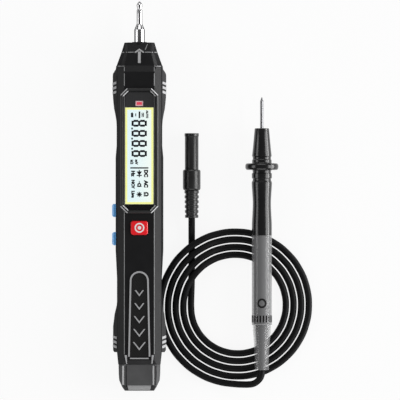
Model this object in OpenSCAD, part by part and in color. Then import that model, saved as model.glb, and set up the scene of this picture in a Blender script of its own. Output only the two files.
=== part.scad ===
// Pen-shaped voltage tester and its test lead, lying on their backs on a table.
// X runs across the pen, Y along it towards the steel tip, Z up from the table.
// The origin is under the middle of the pen.

/* [Housing] */
// Length of the two housing shells
shell_l = 164; // [158:1:176]
// Height from the back face to the front face
body_h = 20; // [19.6:0.2:22]
// Width of the flat front face
face_w = 16.6; // [16.2:0.2:18]
// Width of the flat back face
back_w = 14.4; // [13:0.2:15]
// Width of the bevel beside the front face, seen from the front
bevel_w = 3.6; // [3:0.1:3.9]
// Drop of the bevel beside the front face
bevel_h = 3.8; // [3.2:0.1:4.4]
// Drop of the steep side below that bevel
side_drop = 4.2; // [3.6:0.1:4.6]
// Height of the bevel beside the back face
back_bevel_h = 7.35; // [6.8:0.05:7.7]
// Wall of both shells
wall = 1.6; // [1.3:0.1:1.8]
// How far the middle stands out past the battery waist, each side
body_bulge = 0.8; // [0.5:0.1:1.4]
// How far the shoulders stand out past the battery waist, each side
neck_bulge = 0.2; // [0:0.1:0.5]
// Length of the shoulders
neck_l = 44; // [38:1:48]
// Length of the wide middle
middle_l = 50.6; // [46:0.2:54]
// Length of the slope at the front of the shells
shoulder_l = 3.4; // [2.4:0.2:4.4]
// Drop of the slope at the front of the shells
shoulder_drop = 1.4; // [1:0.1:1.8]
// Length of the slope at the tail of the shells
heel_l = 2.4; // [1.6:0.2:2.4]
// Drop of the slope at the tail of the shells
heel_drop = 1.3; // [0.8:0.1:1.5]

/* [Nose and tip] */
// Length of the nose cap
nose_l = 12.8; // [11:0.2:15]
// Length of the steep front part of the nose cap
nose_brow_l = 5.3; // [4:0.1:6]
// Width of the nose cap at its front edge
nose_front_w = 16.5; // [15:0.5:18]
// Width of the nose cap at its brow
nose_brow_w = 19.7; // [18.5:0.1:22]
// Height of the nose cap at its front edge
nose_front_h = 7; // [6.6:0.1:9]
// Height of the nose cap at its brow
nose_brow_h = 14.2; // [13:0.1:15]
// Diameter of the round collar about the tip
collar_d = 8.6; // [7.8:0.1:9]
// Length of the tip outside the nose cap
tip_l = 22.7; // [20:0.1:26]
// Diameter of the thick end of the tip
tip_base_d = 5.7; // [5:0.1:6]
// Length of the thick end of the tip
tip_base_l = 7.3; // [5:0.1:9]
// Length of the cone between the thick and the slim end
tip_cone_l = 3; // [2:0.1:4]
// Diameter of the slim end of the tip
tip_shaft_d = 3; // [2.6:0.1:3.4]
// Length of the pointed head of the tip
tip_head_l = 4.9; // [4:0.1:5.5]
// Diameter of the pointed head of the tip
tip_head_d = 3.2; // [2.8:0.1:3.6]
// Diameter of the neck behind the pointed head
tip_neck_d = 2.2; // [1.8:0.1:2.4]

/* [Display] */
// Distance from the front of the shells to the bezel
bezel_gap = 12.4; // [8:0.1:14]
// Length of the bezel
bezel_l = 68.7; // [66:0.1:72]
// Width of the bezel
bezel_w = 20.9; // [20.5:0.1:21.6]
// Corner cut of the bezel
bezel_cut = 3.8; // [3:0.1:4.4]
// Height of the bezel above the front face
bezel_h = 1; // [0.8:0.1:1.4]
// Width of the bezel rim, bevels included
bezel_rim = 1.8; // [1.5:0.1:1.9]
// Bevel on both edges of the bezel rim
bezel_edge = 0.5; // [0.3:0.1:0.7]
// Thickness of the clear window
window_t = 0.6; // [0.4:0.1:0.7]
// Length of the LCD
lcd_l = 52.9; // [50:0.1:54]
// Width of the LCD
lcd_w = 15.4; // [14:0.1:15.4]
// Thickness of the LCD
lcd_t = 2.2; // [1.8:0.1:2.4]
// Thickness of the backlight
backlight_t = 1.7; // [1.4:0.1:1.8]
// Distance from the end of the bezel to the LCD
lcd_gap = 5.1; // [4.6:0.1:6]
// Length of the indicator lens
lens_l = 2.7; // [2:0.1:3.2]
// Width of the indicator lens
lens_w = 4; // [3:0.1:5]

/* [Buttons] */
// Length of the select button
select_l = 7.6; // [6.6:0.1:8.4]
// Width of the select button
select_w = 9.3; // [8:0.1:10]
// Corner radius of the select button
select_r = 1.4; // [0.8:0.1:2]
// Height of the select button above the front face
select_h = 0.9; // [0.8:0.1:1.4]
// Distance from the bezel to the middle of the select button
select_gap = 8; // [7:0.1:10]
// Travel of the select button
select_travel = 0.6; // [0.4:0.1:0.7]
// Length of a side button
side_l = 7.4; // [6:0.1:8]
// Height of a side button
side_h = 3.6; // [3:0.1:3.8]
// How far a side button stands out
side_out = 2; // [1.2:0.1:2.4]
// Distance from the bezel to the upper side button, back along the pen
side_gap = 1.6; // [1:0.1:3]
// Distance between the middles of the side buttons
side_pitch = 15.5; // [14:0.5:17]
// Travel of the side buttons
side_travel = 0.5; // [0.3:0.1:0.6]

/* [Grips] */
// How far a side grip stands out
grip_out = 2.2; // [1.6:0.1:2.6]
// Length of an upper side grip
upper_grip_l = 33; // [30:1:36]
// Length of a lower side grip
lower_grip_l = 27.6; // [25:0.2:30]
// Height of a side grip where it meets the shell
grip_h = 6.2; // [5.4:0.1:6.2]
// Height of the outer face of a side grip
grip_face_h = 2.6; // [2:0.1:3.4]
// Length of a light slash, along the pen
slash_l = 1.4; // [1:0.1:1.8]
// Distance between slashes
slash_pitch = 2.5; // [2.2:0.1:3]
// Width of the grip panel at its arch, trim included
panel_w = 10.4; // [9:0.1:11]
// Width of the grip panel at its foot, trim included
panel_foot_w = 12.2; // [11:0.1:13.4]
// Length of the grip panel
panel_l = 46.8; // [44:0.1:46.8]
// Width of the light trim round the grip panel
trim_w = 0.9; // [0.8:0.1:1.4]
// Depth of the grip panel in the front shell
panel_t = 0.8; // [0.5:0.1:0.9]
// Height of the light trim above the grip panel
trim_h = 0.3; // [0.2:0.1:0.5]
// Number of chevrons
chevrons = 5; // [3:1:6]
// Distance between chevrons
chevron_pitch = 7.1; // [6:0.1:7.4]
// Width of a chevron stroke
chevron_stroke = 0.8; // [0.6:0.1:1]

/* [Battery bay] */
// Diameter of a cell
cell_d = 10.5; // [10.3:0.1:10.6]
// Length of a cell, its button included
cell_l = 44.5; // [43.5:0.1:44.5]
// Diameter of the button of a cell
button_d = 3.8; // [3.2:0.1:4.4]
// Length of the button of a cell
button_l = 1; // [0.8:0.1:1.4]
// Length of a pressed battery spring
spring_l = 3.6; // [3.2:0.1:4.2]
// Diameter of the spring wire
spring_wire = 0.6; // [0.5:0.1:0.7]
// Curls of a battery spring
spring_curls = 2.5; // [2:0.5:3]
// Thickness of the contact plates
plate_t = 0.5; // [0.3:0.1:0.6]
// Thickness of the battery door
door_t = 1.2; // [1:0.1:1.3]
// Travel of the battery door before it comes free
door_travel = 46; // [30:1:46]
// Clearance between the cells and the door
cell_door_gap = 0.45; // [0.35:0.05:0.6]

/* [Tail and jack] */
// Length of the tail block behind the shells
tail_l = 14.5; // [13:0.5:17]
// Width of the tail block
tail_w = 23; // [21.5:0.1:23]
// Length of the slope at the end of the tail block
tail_slope_l = 3; // [2:0.1:4]
// Drop of the slope at the end of the tail block
tail_slope_h = 3.4; // [2:0.1:3.6]
// How deep the tail block sits below the faces of the shells
tail_inset = 1.6; // [1.6:0.1:2]
// Depth of the round jack recess
jack_depth = 18.5; // [17:0.5:18.5]
// Diameter of the round jack recess
jack_d = 7.9; // [7.9:0.1:8.4]
// Outer diameter of the jack sleeve
sleeve_d = 5.6; // [5.2:0.1:5.8]
// Bore of the jack sleeve
sleeve_bore = 4.12; // [4.1:0.01:4.2]
// Length of the jack sleeve
sleeve_l = 16; // [13:0.5:16]

/* [Board] */
// Thickness of the circuit board
board_t = 1.6; // [1.2:0.2:1.6]
// Width of the circuit board
board_w = 20.6; // [19:0.1:20.8]
// Gap between the backlight and the circuit board
board_gap = 1.1; // [1:0.1:1.4]
// Diameter of a screw boss
boss_d = 5.2; // [4.6:0.1:5.4]
// Diameter of a screw shank
screw_d = 2.2; // [2:0.1:2.4]
// Diameter of a screw head
screw_head_d = 4; // [3.6:0.1:4.2]
// Height of a screw head
screw_head_h = 1.6; // [1.2:0.1:1.8]

/* [Test lead] */
// Distance of the plug from the middle of the pen
plug_x = 28.7; // [26:0.1:32]
// Front end of the plug, along the pen
plug_y = 34.5; // [30:0.5:40]
// Diameter of the plug shroud
shroud_d = 7.5; // [7.3:0.1:7.7]
// Bore of the plug shroud
shroud_bore = 6.2; // [6.1:0.1:6.4]
// Diameter of the rim of the plug shroud
rim_d = 7.9; // [7.7:0.1:8.4]
// Length of the rim of the plug shroud
rim_l = 1.8; // [1:0.1:2.4]
// Length of the plug shroud
shroud_l = 20; // [19:0.5:22]
// Diameter of the plug pin
plug_pin_d = 4; // [3.9:0.05:4.05]
// Diameter of the plug grip
plug_grip_d = 9.74; // [9:0.01:10.2]
// Length of the plug grip
plug_grip_l = 11.5; // [10:0.5:13]
// Diameter of the ribs of the plug relief
relief_d = 8; // [7.4:0.1:8.4]
// Length of the ribbed plug relief
relief_l = 15.1; // [14:0.1:17]
// Ribs of the plug relief
relief_ribs = 6; // [4:1:7]
// Diameter of the cord
cord_d = 3.5; // [3:0.1:3.6]
// Middle of the coil, across
coil_x = 53.4; // [52:0.1:56]
// Middle of the coil, along
coil_y = -60.7; // [-66:0.1:-58]
// Radius where the coil starts
coil_start_r = 25.1; // [20:0.1:26]
// Step of the coil from turn to turn
coil_pitch = 4.22; // [4.1:0.01:4.4]
// How high the turns rise over the straight run under them
hump_h = 4; // [3.9:0.1:4.6]

/* [Probe] */
// Distance of the probe from the middle of the pen
probe_x = 67.3; // [64:0.1:70]
// Point of the probe needle, along the pen
probe_y = 54.3; // [50:0.1:58]
// Length of the needle outside the handle
needle_l = 17.1; // [14:0.1:20]
// Diameter of the needle
needle_d = 1.9; // [1.6:0.1:2.1]
// Diameter of the front end of the handle
nib_d = 7.9; // [7:0.1:8.6]
// Length of the cone in front of the finger guard
nib_l = 19.2; // [17:0.1:22]
// Diameter of the handle
handle_d = 11.2; // [10:0.1:11.4]
// Diameter of the waist of the handle
waist_d = 10; // [9.2:0.1:10.2]
// Diameter of the finger guard
guard_d = 18.4; // [17.8:0.02:19]
// Thickness of the finger guard
guard_t = 3.8; // [3:0.1:4.4]
// Length of the black handle behind the guard
grip_l = 35.9; // [32:0.1:38]
// Length of the grey rear handle
rear_l = 49.3; // [46:0.1:52]
// Length of the tapered relief
probe_relief_l = 24.8; // [22:0.1:26]
// Diameter of the tapered relief where it leaves the handle
probe_relief_d = 10; // [9:0.1:10.4]
// Diameter of the tapered relief where the cord leaves it
probe_relief_end_d = 7.6; // [6.6:0.1:8]

/* [Clearances] */
// Gap between pieces that move past each other
run_gap = 0.3; // [0.2:0.05:0.35]
// Gap between fixed pieces that fit together
fit_gap = 0.1; // [0.05:0.01:0.15]

/* [Hidden] */
$fn = 64;
// Overrun of every cut past the face that it opens
cut = 1;

// Places along the pen, from the tip down to the tail
overall_l = tip_l + nose_l + shell_l + tail_l;
y_point = overall_l / 2;
y_nose = y_point - tip_l;
y_brow = y_nose - nose_brow_l;
y_shell = y_nose - nose_l;
y_tail = y_shell - shell_l;
y_end = y_tail - tail_l;
axis_z = body_h / 2;
seam_z = axis_z;

// Half widths of the shells, worked out from the cells that lie side by side in the waist
cell_gap = 0.2;
bay_gap = 0.1;
cell_x = (cell_gap + cell_d) / 2;
waist_half = cell_gap / 2 + cell_d + bay_gap + wall;
body_half = waist_half + body_bulge;
neck_half = waist_half + neck_bulge;
heel_half = tail_w / 2 + fit_gap;
neck_ease = 6.6;
waist_ease = 15.4;
heel_ease = 6.6;
bevel_z = body_h - bevel_h;
side_top_z = bevel_z - side_drop;

// Cells lie on the bevels of the battery door, which fix their height
back_bevel = [body_half - back_w / 2, back_bevel_h];
bevel_n = [back_bevel[1], back_bevel[0]] / norm(back_bevel);
cell_off = cell_d / 2 + door_t + cell_door_gap;
cell_z = (cell_off + (cell_x - back_w / 2) * bevel_n[0]) / bevel_n[1];
web_gap = 0.35;
web_t = 1.2;
web_z = cell_z + cell_d / 2 + web_gap;
door_z = axis_z - grip_h / 2 - 2 * run_gap;

// Battery bay along the pen, between two bulkheads
bulkhead_t = 1.2;
bay_l = cell_l + spring_l + 2 * plate_t + 2 * bay_gap;
bay_end_gap = 6.5;
y_bay_end = y_tail + bay_end_gap;
y_bay_top = y_bay_end + bay_l;

// Display and board heights
ceiling_z = body_h - wall;
lcd_drop = 0.2;
lcd_z = body_h - lcd_drop - lcd_t;
backlight_z = lcd_z - backlight_t;
board_top_z = backlight_z - board_gap;
board_z = board_top_z - board_t;
y_bezel = y_shell - bezel_gap;
y_bezel_end = y_bezel - bezel_l;
y_lcd_end = y_bezel_end + lcd_gap;
y_lcd = y_lcd_end + lcd_l;
lens_gap = 0.9;
y_lens = y_lcd + lens_gap + lens_l / 2;
board_front_gap = 2.4;
y_board = y_shell - board_front_gap;
y_board_end = y_bay_top + bulkhead_t + fit_gap;

// Buttons
y_select = y_bezel_end - select_gap;
y_side_upper = y_bezel_end + side_gap;
y_sides = [y_side_upper, y_side_upper - side_pitch];
side_board_gap = 0.9;
side_z = board_z - side_board_gap - side_h / 2;
flange_t = 1;
flange_lip = 0.8;

// Screws: one behind the nose, two in front of the battery bay
front_screw_gap = 9.4;
rear_screw_gap = 5;
rear_screw_x = 6.5;
screws = [
    [0, y_shell - front_screw_gap],
    [rear_screw_x, y_bay_top + rear_screw_gap],
    [-rear_screw_x, y_bay_top + rear_screw_gap]
];

// Test lead places
cord_r = cord_d / 2;
plug_z = plug_grip_d / 2;
y_shroud_end = plug_y - shroud_l;
y_plug_end = y_shroud_end - plug_grip_l;
y_relief_end = y_plug_end - relief_l;
probe_z = guard_d / 2;
y_nib = probe_y - needle_l;
y_guard = y_nib - nib_l;
y_handle = y_guard - guard_t;
y_rear = y_handle - grip_l;
y_probe_relief = y_rear - rear_l;
y_probe_end = y_probe_relief - probe_relief_l;

// Turns of the coil, and the rise at its end towards the probe
coil_turns = 4.25;
coil_rings = 24;
coil_sides = 6;
cord_sides = 8;
hump_flat = 6;
hump_slope = 16;
rise_h = probe_z - cord_r;
rise_l = 34;
rise_tail_l = 15.6;

// Route of the straight run, measured from the end of the plug relief
run_route = [
    [0, 0, 0], [0, -2.4, 0], [0, -4.4, -0.3], [0, -6.4, -1.1], [0, -8.4, -2.1],
    [0, -10.4, -2.9], [0, -12.4, -3.4], [0, -20, -3.4], [0, -28, -3.4], [-0.1, -36, -3.4]
];
// Route of the short tail, measured from the end of the probe relief
tail_route = [
    [-7.2, -8, -2.1], [-4.5, -7.5, -1.3], [-2.1, -5.9, -0.6], [-0.5, -3.5, -0.2],
    [0, -0.8, 0], [0, 0, 0]
];

// The same outline a set distance inside itself, for points in counter-clockwise order
function unit(v) = v / norm(v);
function inset(p, d) = [
    for (i = [0:len(p) - 1])
        let (
            a = p[(i + len(p) - 1) % len(p)],
            b = p[i],
            c = p[(i + 1) % len(p)],
            u = unit(b - a),
            v = unit(c - b),
            m = [-u[1], u[0]],
            n = [-v[1], v[0]]
        )
        b + d * (m + n) / (1 + m * n)
];
// Right half of an outline and its mirror image, closed
function mirrored(p) = concat(p, [for (i = [len(p) - 1:-1:0]) [-p[i][0], p[i][1]]]);

// Cross-section of the housing, from the back face up to the front face
housing_section = mirrored([
    [back_w / 2, 0],
    [body_half, back_bevel_h],
    [body_half, side_top_z],
    [face_w / 2 + bevel_w, bevel_z],
    [face_w / 2, body_h]
]);
// Outline of the shells seen from the front, from the tail up to the nose
housing_plan = mirrored([
    [heel_half, y_tail],
    [waist_half, y_tail + heel_ease],
    [waist_half, y_shell - neck_l - neck_ease - middle_l - waist_ease],
    [body_half, y_shell - neck_l - neck_ease - middle_l],
    [body_half, y_shell - neck_l - neck_ease],
    [neck_half, y_shell - neck_l],
    [neck_half, y_shell]
]);
// Outline of the shells seen from the side
housing_profile = [
    [y_tail, 0],
    [y_shell - shoulder_l, 0],
    [y_shell, shoulder_drop],
    [y_shell, body_h - shoulder_drop],
    [y_shell - shoulder_l, body_h],
    [y_tail + heel_l, body_h],
    [y_tail, body_h - heel_drop]
];

// A cross-section drawn along the pen from y0 down to y1
module along(y0, y1) translate([0, y0, 0]) rotate([90, 0, 0]) linear_extrude(y0 - y1) children();
// A side outline drawn right across the pen
module across(w) translate([-w / 2, 0, 0]) rotate([90, 0, 90]) linear_extrude(w) children();
// A turned piece about a line along the pen, from radius and place along it
module turned(points, x = 0, z = axis_z)
    translate([x, 0, z]) rotate([-90, 0, 0]) rotate_extrude() polygon(points);
// A round bar along the pen from y0 down to y1
module bar_y(d, y0, y1, x = 0, z = axis_z) translate([x, y0, z]) rotate([90, 0, 0]) cylinder(d = d, h = y0 - y1);
// A block between two corners
module block(a, b) translate(a) cube(b - a);
// A block centred across the pen
module mid_block(w, y0, y1, z0, z1) block([-w / 2, y1, z0], [w / 2, y0, z1]);

// The housing as one body, a set distance inside its faces
module housing(d = 0) intersection() {
    along(y_shell + cut, y_tail - cut) polygon(inset(housing_section, d));
    linear_extrude(body_h + cut) polygon(inset(housing_plan, d));
    across(4 * body_half) polygon(inset(housing_profile, d));
}
// Everything behind the seam, and everything in front of it
module rear_half() block([-2 * body_half, y_end - cut, -cut], [2 * body_half, y_point, seam_z]);
module front_half() block([-2 * body_half, y_end - cut, seam_z], [2 * body_half, y_point, 2 * body_h]);

// Space that the battery door sweeps, and the core that stays inside it
module door_zone(gap) block(
    [-2 * body_half, y_tail - cut, -cut],
    [2 * body_half, y_bay_top + gap, door_z + gap]
);
module door_core(d) along(y_shell, y_tail - cut) intersection() {
    polygon(inset(housing_section, d));
    translate([d - waist_half, -cut]) square([2 * (waist_half - d), body_h]);
}

// Walls at both ends of the battery bay and at the tail
bulkheads = [y_bay_top + bulkhead_t, y_bay_end];
module bay_walls() for (y = bulkheads) intersection() {
    mid_block(2 * body_half, y, y - bulkhead_t, 0, web_z);
    door_core(door_t + run_gap);
}

// Octagon of the display, w wide with its corners cut, a set distance inside the bezel
module display_octagon(d, z0, z1) translate([0, 0, z0]) linear_extrude(z1 - z0)
    polygon(inset(mirrored([
        [bezel_w / 2 - bezel_cut, y_bezel_end],
        [bezel_w / 2, y_bezel_end + bezel_cut],
        [bezel_w / 2, y_bezel - bezel_cut],
        [bezel_w / 2 - bezel_cut, y_bezel]
    ]), d));

// Rounded block of the select button, grown by d all round
module select_block(d, z0, z1) translate([0, y_select, z0]) linear_extrude(z1 - z0, $fn = 32) {
    square([select_w + 2 * d, select_l - 2 * select_r], center = true);
    square([select_w - 2 * select_r, select_l + 2 * d], center = true);
    for (x = [-1, 1], y = [-1, 1])
        translate([x * (select_w / 2 - select_r), y * (select_l / 2 - select_r)]) circle(select_r + d);
}

// Block of a side button at place y, from x0 to x1 outside the middle, grown by d
module side_block(y, x0, x1, d) block(
    [-x1, y - side_l / 2 - d, side_z - side_h / 2 - d],
    [-x0, y + side_l / 2 + d, side_z + side_h / 2 + d]
);

// Arched outline of the grip panel, a set distance inside its edge
panel_end_gap = 4.4;
y_panel_end = y_tail + panel_end_gap;
y_panel = y_panel_end + panel_l;
panel_flare = (panel_foot_w - panel_w) / 2;
bar_gap = 0.7;
module panel_arch(d, z0, z1) translate([0, 0, z0]) linear_extrude(z1 - z0) {
    translate([0, y_panel - panel_w / 2]) circle(panel_w / 2 - d);
    polygon([
        [d - panel_foot_w / 2, y_panel_end],
        [panel_foot_w / 2 - d, y_panel_end],
        [panel_w / 2 - d, y_panel - panel_w / 2],
        [d - panel_w / 2, y_panel - panel_w / 2]
    ]);
}

// Screw boss pieces
pilot_l = 6;
screw_recess = 2;
screw_seat_z = screw_head_h + screw_recess;
module at_screws() for (p = screws) translate(p) children();

module front_shell() color([0.11, 0.11, 0.12]) {
    difference() {
        union() {
            difference() {
                intersection() {
                    housing();
                    front_half();
                }
                housing(wall);
            }
            // Web over the cells, the upper halves of the bay walls, and the screw bosses
            intersection() {
                housing(wall / 2);
                front_half();
                union() {
                    mid_block(2 * body_half, y_bay_top + bulkhead_t, y_bay_end - bulkhead_t, web_z, web_z + web_t);
                    bay_walls();
                    at_screws() translate([0, 0, seam_z]) cylinder(d = boss_d, h = body_h - seam_z);
                }
            }
        }
        // Openings for the LCD, the indicator lens and the select button
        mid_block(lcd_w + 2 * fit_gap, y_lcd + fit_gap, y_lcd_end - fit_gap, ceiling_z - cut, body_h + cut);
        mid_block(
            lens_w + 2 * fit_gap, y_lens + lens_l / 2 + fit_gap, y_lens - lens_l / 2 - fit_gap,
            ceiling_z - cut, body_h + cut
        );
        select_block(run_gap, ceiling_z - cut, body_h + cut);
        side_slots();
        nose_openings();
        // Recess of the grip panel, and the slot of its light bar
        panel_arch(-fit_gap / 2, body_h - panel_t, body_h + cut);
        panel_bar(fit_gap / 2, body_h - panel_t, body_h + cut);
        tail_openings();
        at_screws() translate([0, 0, seam_z - cut]) cylinder(d = screw_d + fit_gap, h = pilot_l + cut);
    }
}

// Slots for the side buttons, cut in both shells
module side_slots() for (y = y_sides) side_block(y, body_half - 2 * wall, body_half + cut, run_gap);

// Holes for the tip stud and the antenna in the front walls of the shells
module nose_openings() {
    bar_y(stud_d + 2 * run_gap, y_shell + cut, y_shell - wall - cut);
    mid_block(
        antenna_w + 2 * run_gap, y_shell + cut, y_shell - wall - cut,
        antenna_z - run_gap, antenna_z + plate_t + run_gap
    );
}

// Hole for the jack tube in the tail walls of the shells
module tail_openings() bar_y(jack_tube_d + 2 * fit_gap, y_tail + wall + cut, y_tail - cut);

module rear_shell() color([0.1, 0.1, 0.11]) difference() {
    union() {
        difference() {
            intersection() {
                housing();
                rear_half();
            }
            housing(wall);
            door_zone(run_gap);
        }
        // Lower halves of the bay walls, and the end wall, clear of the sliding door
        intersection() {
            union() {
                bay_walls();
                mid_block(2 * body_half, y_tail + wall, y_tail, 0, body_h);
            }
            rear_half();
            door_core(door_t + run_gap);
        }
        intersection() {
            housing();
            at_screws() cylinder(d = boss_d + wall, h = seam_z);
        }
        // Cross ribs that carry the circuit board
        intersection() {
            housing(wall / 2);
            for (y = board_ribs) mid_block(board_w - 2 * rib_t, y, y - rib_t, 0, board_z);
        }
    }
    at_screws() {
        translate([0, 0, -cut]) cylinder(d = screw_head_d + 2 * fit_gap, h = screw_seat_z + cut);
        cylinder(d = screw_d + 2 * fit_gap, h = seam_z + cut);
    }
    side_slots();
    nose_openings();
    tail_openings();
    // Slots for the hooks of the battery door
    hook_blocks(run_gap);
}

// Cross ribs under the board, clear of the chips
rib_t = 1.2;
board_ribs = [y_lcd - rib_t, y_lcd_end + lcd_l / 4];

// Nose cap, lofted over three octagons, with a round collar about the tip
slice_t = 0.2;
nose_rear_h = body_h - 2 * shoulder_drop;
nose_section_shares = [[0.65, 1], [0.8, 0.81], [1, 0.17]];
module nose_slice(w, h, y) along(y, y - slice_t) polygon(mirrored([
    for (s = nose_section_shares) [s[0] * w / 2, axis_z - s[1] * h / 2],
    for (i = [2:-1:0]) let (s = nose_section_shares[i]) [s[0] * w / 2, axis_z + s[1] * h / 2]
]));
pocket_wall = 5.2;
pocket_w = 14;
pocket_h = 9;
module nose_cap() color([0.09, 0.09, 0.1]) difference() {
    union() {
        hull() {
            nose_slice(2 * neck_half, nose_rear_h, y_shell + slice_t);
            nose_slice(nose_brow_w, nose_brow_h, y_brow);
        }
        hull() {
            nose_slice(nose_brow_w, nose_brow_h, y_brow);
            nose_slice(nose_front_w, nose_front_h, y_nose);
        }
        turned([
            [0, y_brow - slice_t],
            [collar_d / 2, y_brow - slice_t],
            [collar_d / 2, y_nose - collar_edge],
            [collar_d / 2 - collar_edge, y_nose + collar_edge],
            [0, y_nose + collar_edge]
        ]);
    }
    bar_y(tip_base_d + fit_gap, y_nose + cut, y_nose - pocket_wall - cut);
    mid_block(
        pocket_w, y_nose - pocket_wall, y_shell - cut,
        axis_z - pocket_h / 2, axis_z + pocket_h / 2
    );
}
collar_edge = 0.3;

// Steel tip with its flange and stud inside the nose
stud_d = 3;
flange_d = 7.4;
stud_inside = 5;
y_stud_end = y_shell - stud_inside;
module tester_tip() color([0.75, 0.76, 0.78]) turned([
    [0, y_stud_end],
    [stud_d / 2, y_stud_end],
    [stud_d / 2, y_nose - pocket_wall - flange_t],
    [flange_d / 2, y_nose - pocket_wall - flange_t],
    [flange_d / 2, y_nose - pocket_wall],
    [tip_base_d / 2, y_nose - pocket_wall],
    [tip_base_d / 2, y_nose + tip_base_l],
    [tip_shaft_d / 2, y_nose + tip_base_l + tip_cone_l],
    [tip_shaft_d / 2, y_point - tip_head_l],
    [tip_neck_d / 2, y_point - tip_head_l + tip_neck_d / 4],
    [tip_neck_d / 2, y_point - tip_head_l + tip_neck_d / 2],
    [tip_head_d / 2, y_point - tip_head_l / 2],
    [0, y_point]
]);

// Brass clip on the stud, soldered to the underside of the board
clip_l = 2;
clip_d = 5.2;
clip_tab_w = 2.4;
module tip_contact() color([0.8, 0.66, 0.35]) difference() {
    union() {
        bar_y(clip_d, y_stud_end + clip_l, y_stud_end);
        mid_block(clip_tab_w, y_stud_end + clip_l, y_stud_end, axis_z, board_z);
    }
    bar_y(stud_d, y_stud_end + clip_l + cut, y_stud_end - cut);
}

// Copper strip that runs from the board into the nose and senses a live wire
antenna_w = 6;
antenna_l = 11;
antenna_z = board_z - plate_t;
module sensing_antenna() color([0.72, 0.45, 0.25]) difference() {
    mid_block(antenna_w, y_stud_end + antenna_l, y_stud_end - clip_l / 2, antenna_z, board_z);
    mid_block(
        clip_tab_w + 2 * fit_gap, y_stud_end + clip_l + fit_gap, y_stud_end - clip_l,
        antenna_z - cut, board_z + cut
    );
}

// Raised bezel, bevelled inside and out, seated on the face and its bevels
module display_bezel() color([0.16, 0.16, 0.17]) difference() {
    union() {
        display_octagon(0, bevel_z, body_h + bezel_h - bezel_edge);
        hull() {
            display_octagon(0, body_h + bezel_h - 2 * bezel_edge, body_h + bezel_h - bezel_edge);
            display_octagon(bezel_edge, body_h, body_h + bezel_h);
        }
    }
    along(y_shell, y_tail) polygon(housing_section);
    display_octagon(bezel_rim, body_h - cut, body_h + bezel_h + cut);
    hull() {
        display_octagon(bezel_rim, body_h, body_h + bezel_h - bezel_edge);
        display_octagon(bezel_rim - bezel_edge, body_h + bezel_h, body_h + bezel_h + cut);
    }
}

module display_window() color([0.2, 0.22, 0.24, 0.4])
    display_octagon(bezel_rim + fit_gap, body_h, body_h + window_t);

module lcd_panel() color([0.85, 0.93, 0.9]) mid_block(lcd_w, y_lcd, y_lcd_end, lcd_z, lcd_z + lcd_t);

// Backlight wider than the LCD that it carries, with its corners cut
backlight_lip = 0.5;
module lcd_backlight() color([0.93, 0.93, 0.85]) difference() {
    mid_block(
        lcd_w + 2 * backlight_lip, y_lcd + backlight_lip, y_lcd_end - backlight_lip,
        backlight_z, backlight_z + backlight_t
    );
    for (x = [-1, 1], y = [y_lcd + backlight_lip, y_lcd_end - backlight_lip])
        translate([x * (lcd_w / 2 + backlight_lip), y, backlight_z - cut])
            cylinder(r = backlight_lip, h = backlight_t + 2 * cut);
}

// Rubber strip between the board and the end of the backlight
strip_l = 2.4;
module lcd_contact_strip() color([0.6, 0.6, 0.62])
    mid_block(lcd_w, y_lcd_end + strip_l, y_lcd_end, board_top_z, backlight_z);

// Red light pipe with a flange under the face, and the LED below it
lens_lip = 0.6;
led_h = 1.2;
led_w = 2;
module indicator_lens() color([0.85, 0.1, 0.15]) {
    mid_block(
        lens_w, y_lens + lens_l / 2, y_lens - lens_l / 2,
        ceiling_z - flange_t, body_h - lcd_drop
    );
    mid_block(
        lens_w + 2 * lens_lip, y_lens + lens_l / 2 + lens_lip, y_lens - lens_l / 2,
        ceiling_z - flange_t, ceiling_z - fit_gap
    );
}
module indicator_led() color([0.9, 0.85, 0.8]) {
    mid_block(lens_w, y_lens + led_w / 2, y_lens - led_w / 2, board_top_z, board_top_z + led_h);
    translate([0, y_lens, board_top_z + led_h])
        cylinder(d = led_w, h = ceiling_z - flange_t - fit_gap - board_top_z - led_h);
}

// Red button: domed cap edge, a flange under the face and a plunger over its switch
cap_edge = 0.4;
plunger_d = 4;
select_switch_h = 0.9;
nub_h = 0.3;
nub_d = 2.6;
select_stop_z = board_top_z + select_switch_h + nub_h;
module select_button() color([0.85, 0.08, 0.1]) {
    select_block(0, ceiling_z - run_gap - flange_t, body_h + select_h - cap_edge);
    hull() {
        select_block(0, body_h + select_h - 2 * cap_edge, body_h + select_h - cap_edge);
        select_block(-cap_edge, body_h, body_h + select_h);
    }
    select_block(flange_lip, ceiling_z - run_gap - flange_t, ceiling_z - run_gap);
    translate([0, y_select, select_stop_z + run_gap + select_travel])
        cylinder(d = plunger_d, h = ceiling_z - select_stop_z - 2 * run_gap - select_travel);
}
switch_w = 6;
module select_switch() color([0.3, 0.3, 0.32]) translate([0, y_select, board_top_z]) {
    translate([-switch_w / 2, -switch_w / 2, 0]) cube([switch_w, switch_w, select_switch_h]);
    cylinder(d = nub_d, h = select_switch_h + nub_h);
}

// Blue side button: a rounded key outside and a flange inside the slot of the shells
side_inner = body_half - wall - run_gap;
side_edge = 0.8;
side_lip = 0.5;
module side_button(y) color([0.1, 0.3, 0.75]) {
    side_block(y, side_inner - flange_t, body_half + side_out - side_edge, 0);
    hull() {
        side_block(y, body_half, body_half + side_out - side_edge, 0);
        side_block(y, body_half, body_half + side_out, -side_edge);
    }
    side_block(y, side_inner - flange_t, side_inner, side_lip);
}
module upper_side_button() side_button(y_sides[0]);
module lower_side_button() side_button(y_sides[1]);

// Side switches hang under the board, their nubs short of the pressed keys
side_switch_w = 3.4;
side_stop = side_inner - flange_t - side_travel - run_gap;
module side_switches() color([0.3, 0.3, 0.32]) for (y = y_sides) {
    block(
        [nub_h - side_stop, y - switch_w / 2, side_z - side_h / 2],
        [nub_h - side_stop + side_switch_w, y + switch_w / 2, board_z]
    );
    translate([-side_stop, y, side_z]) rotate([0, 90, 0]) cylinder(d = nub_d, h = nub_h + side_switch_w / 2);
}

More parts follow.
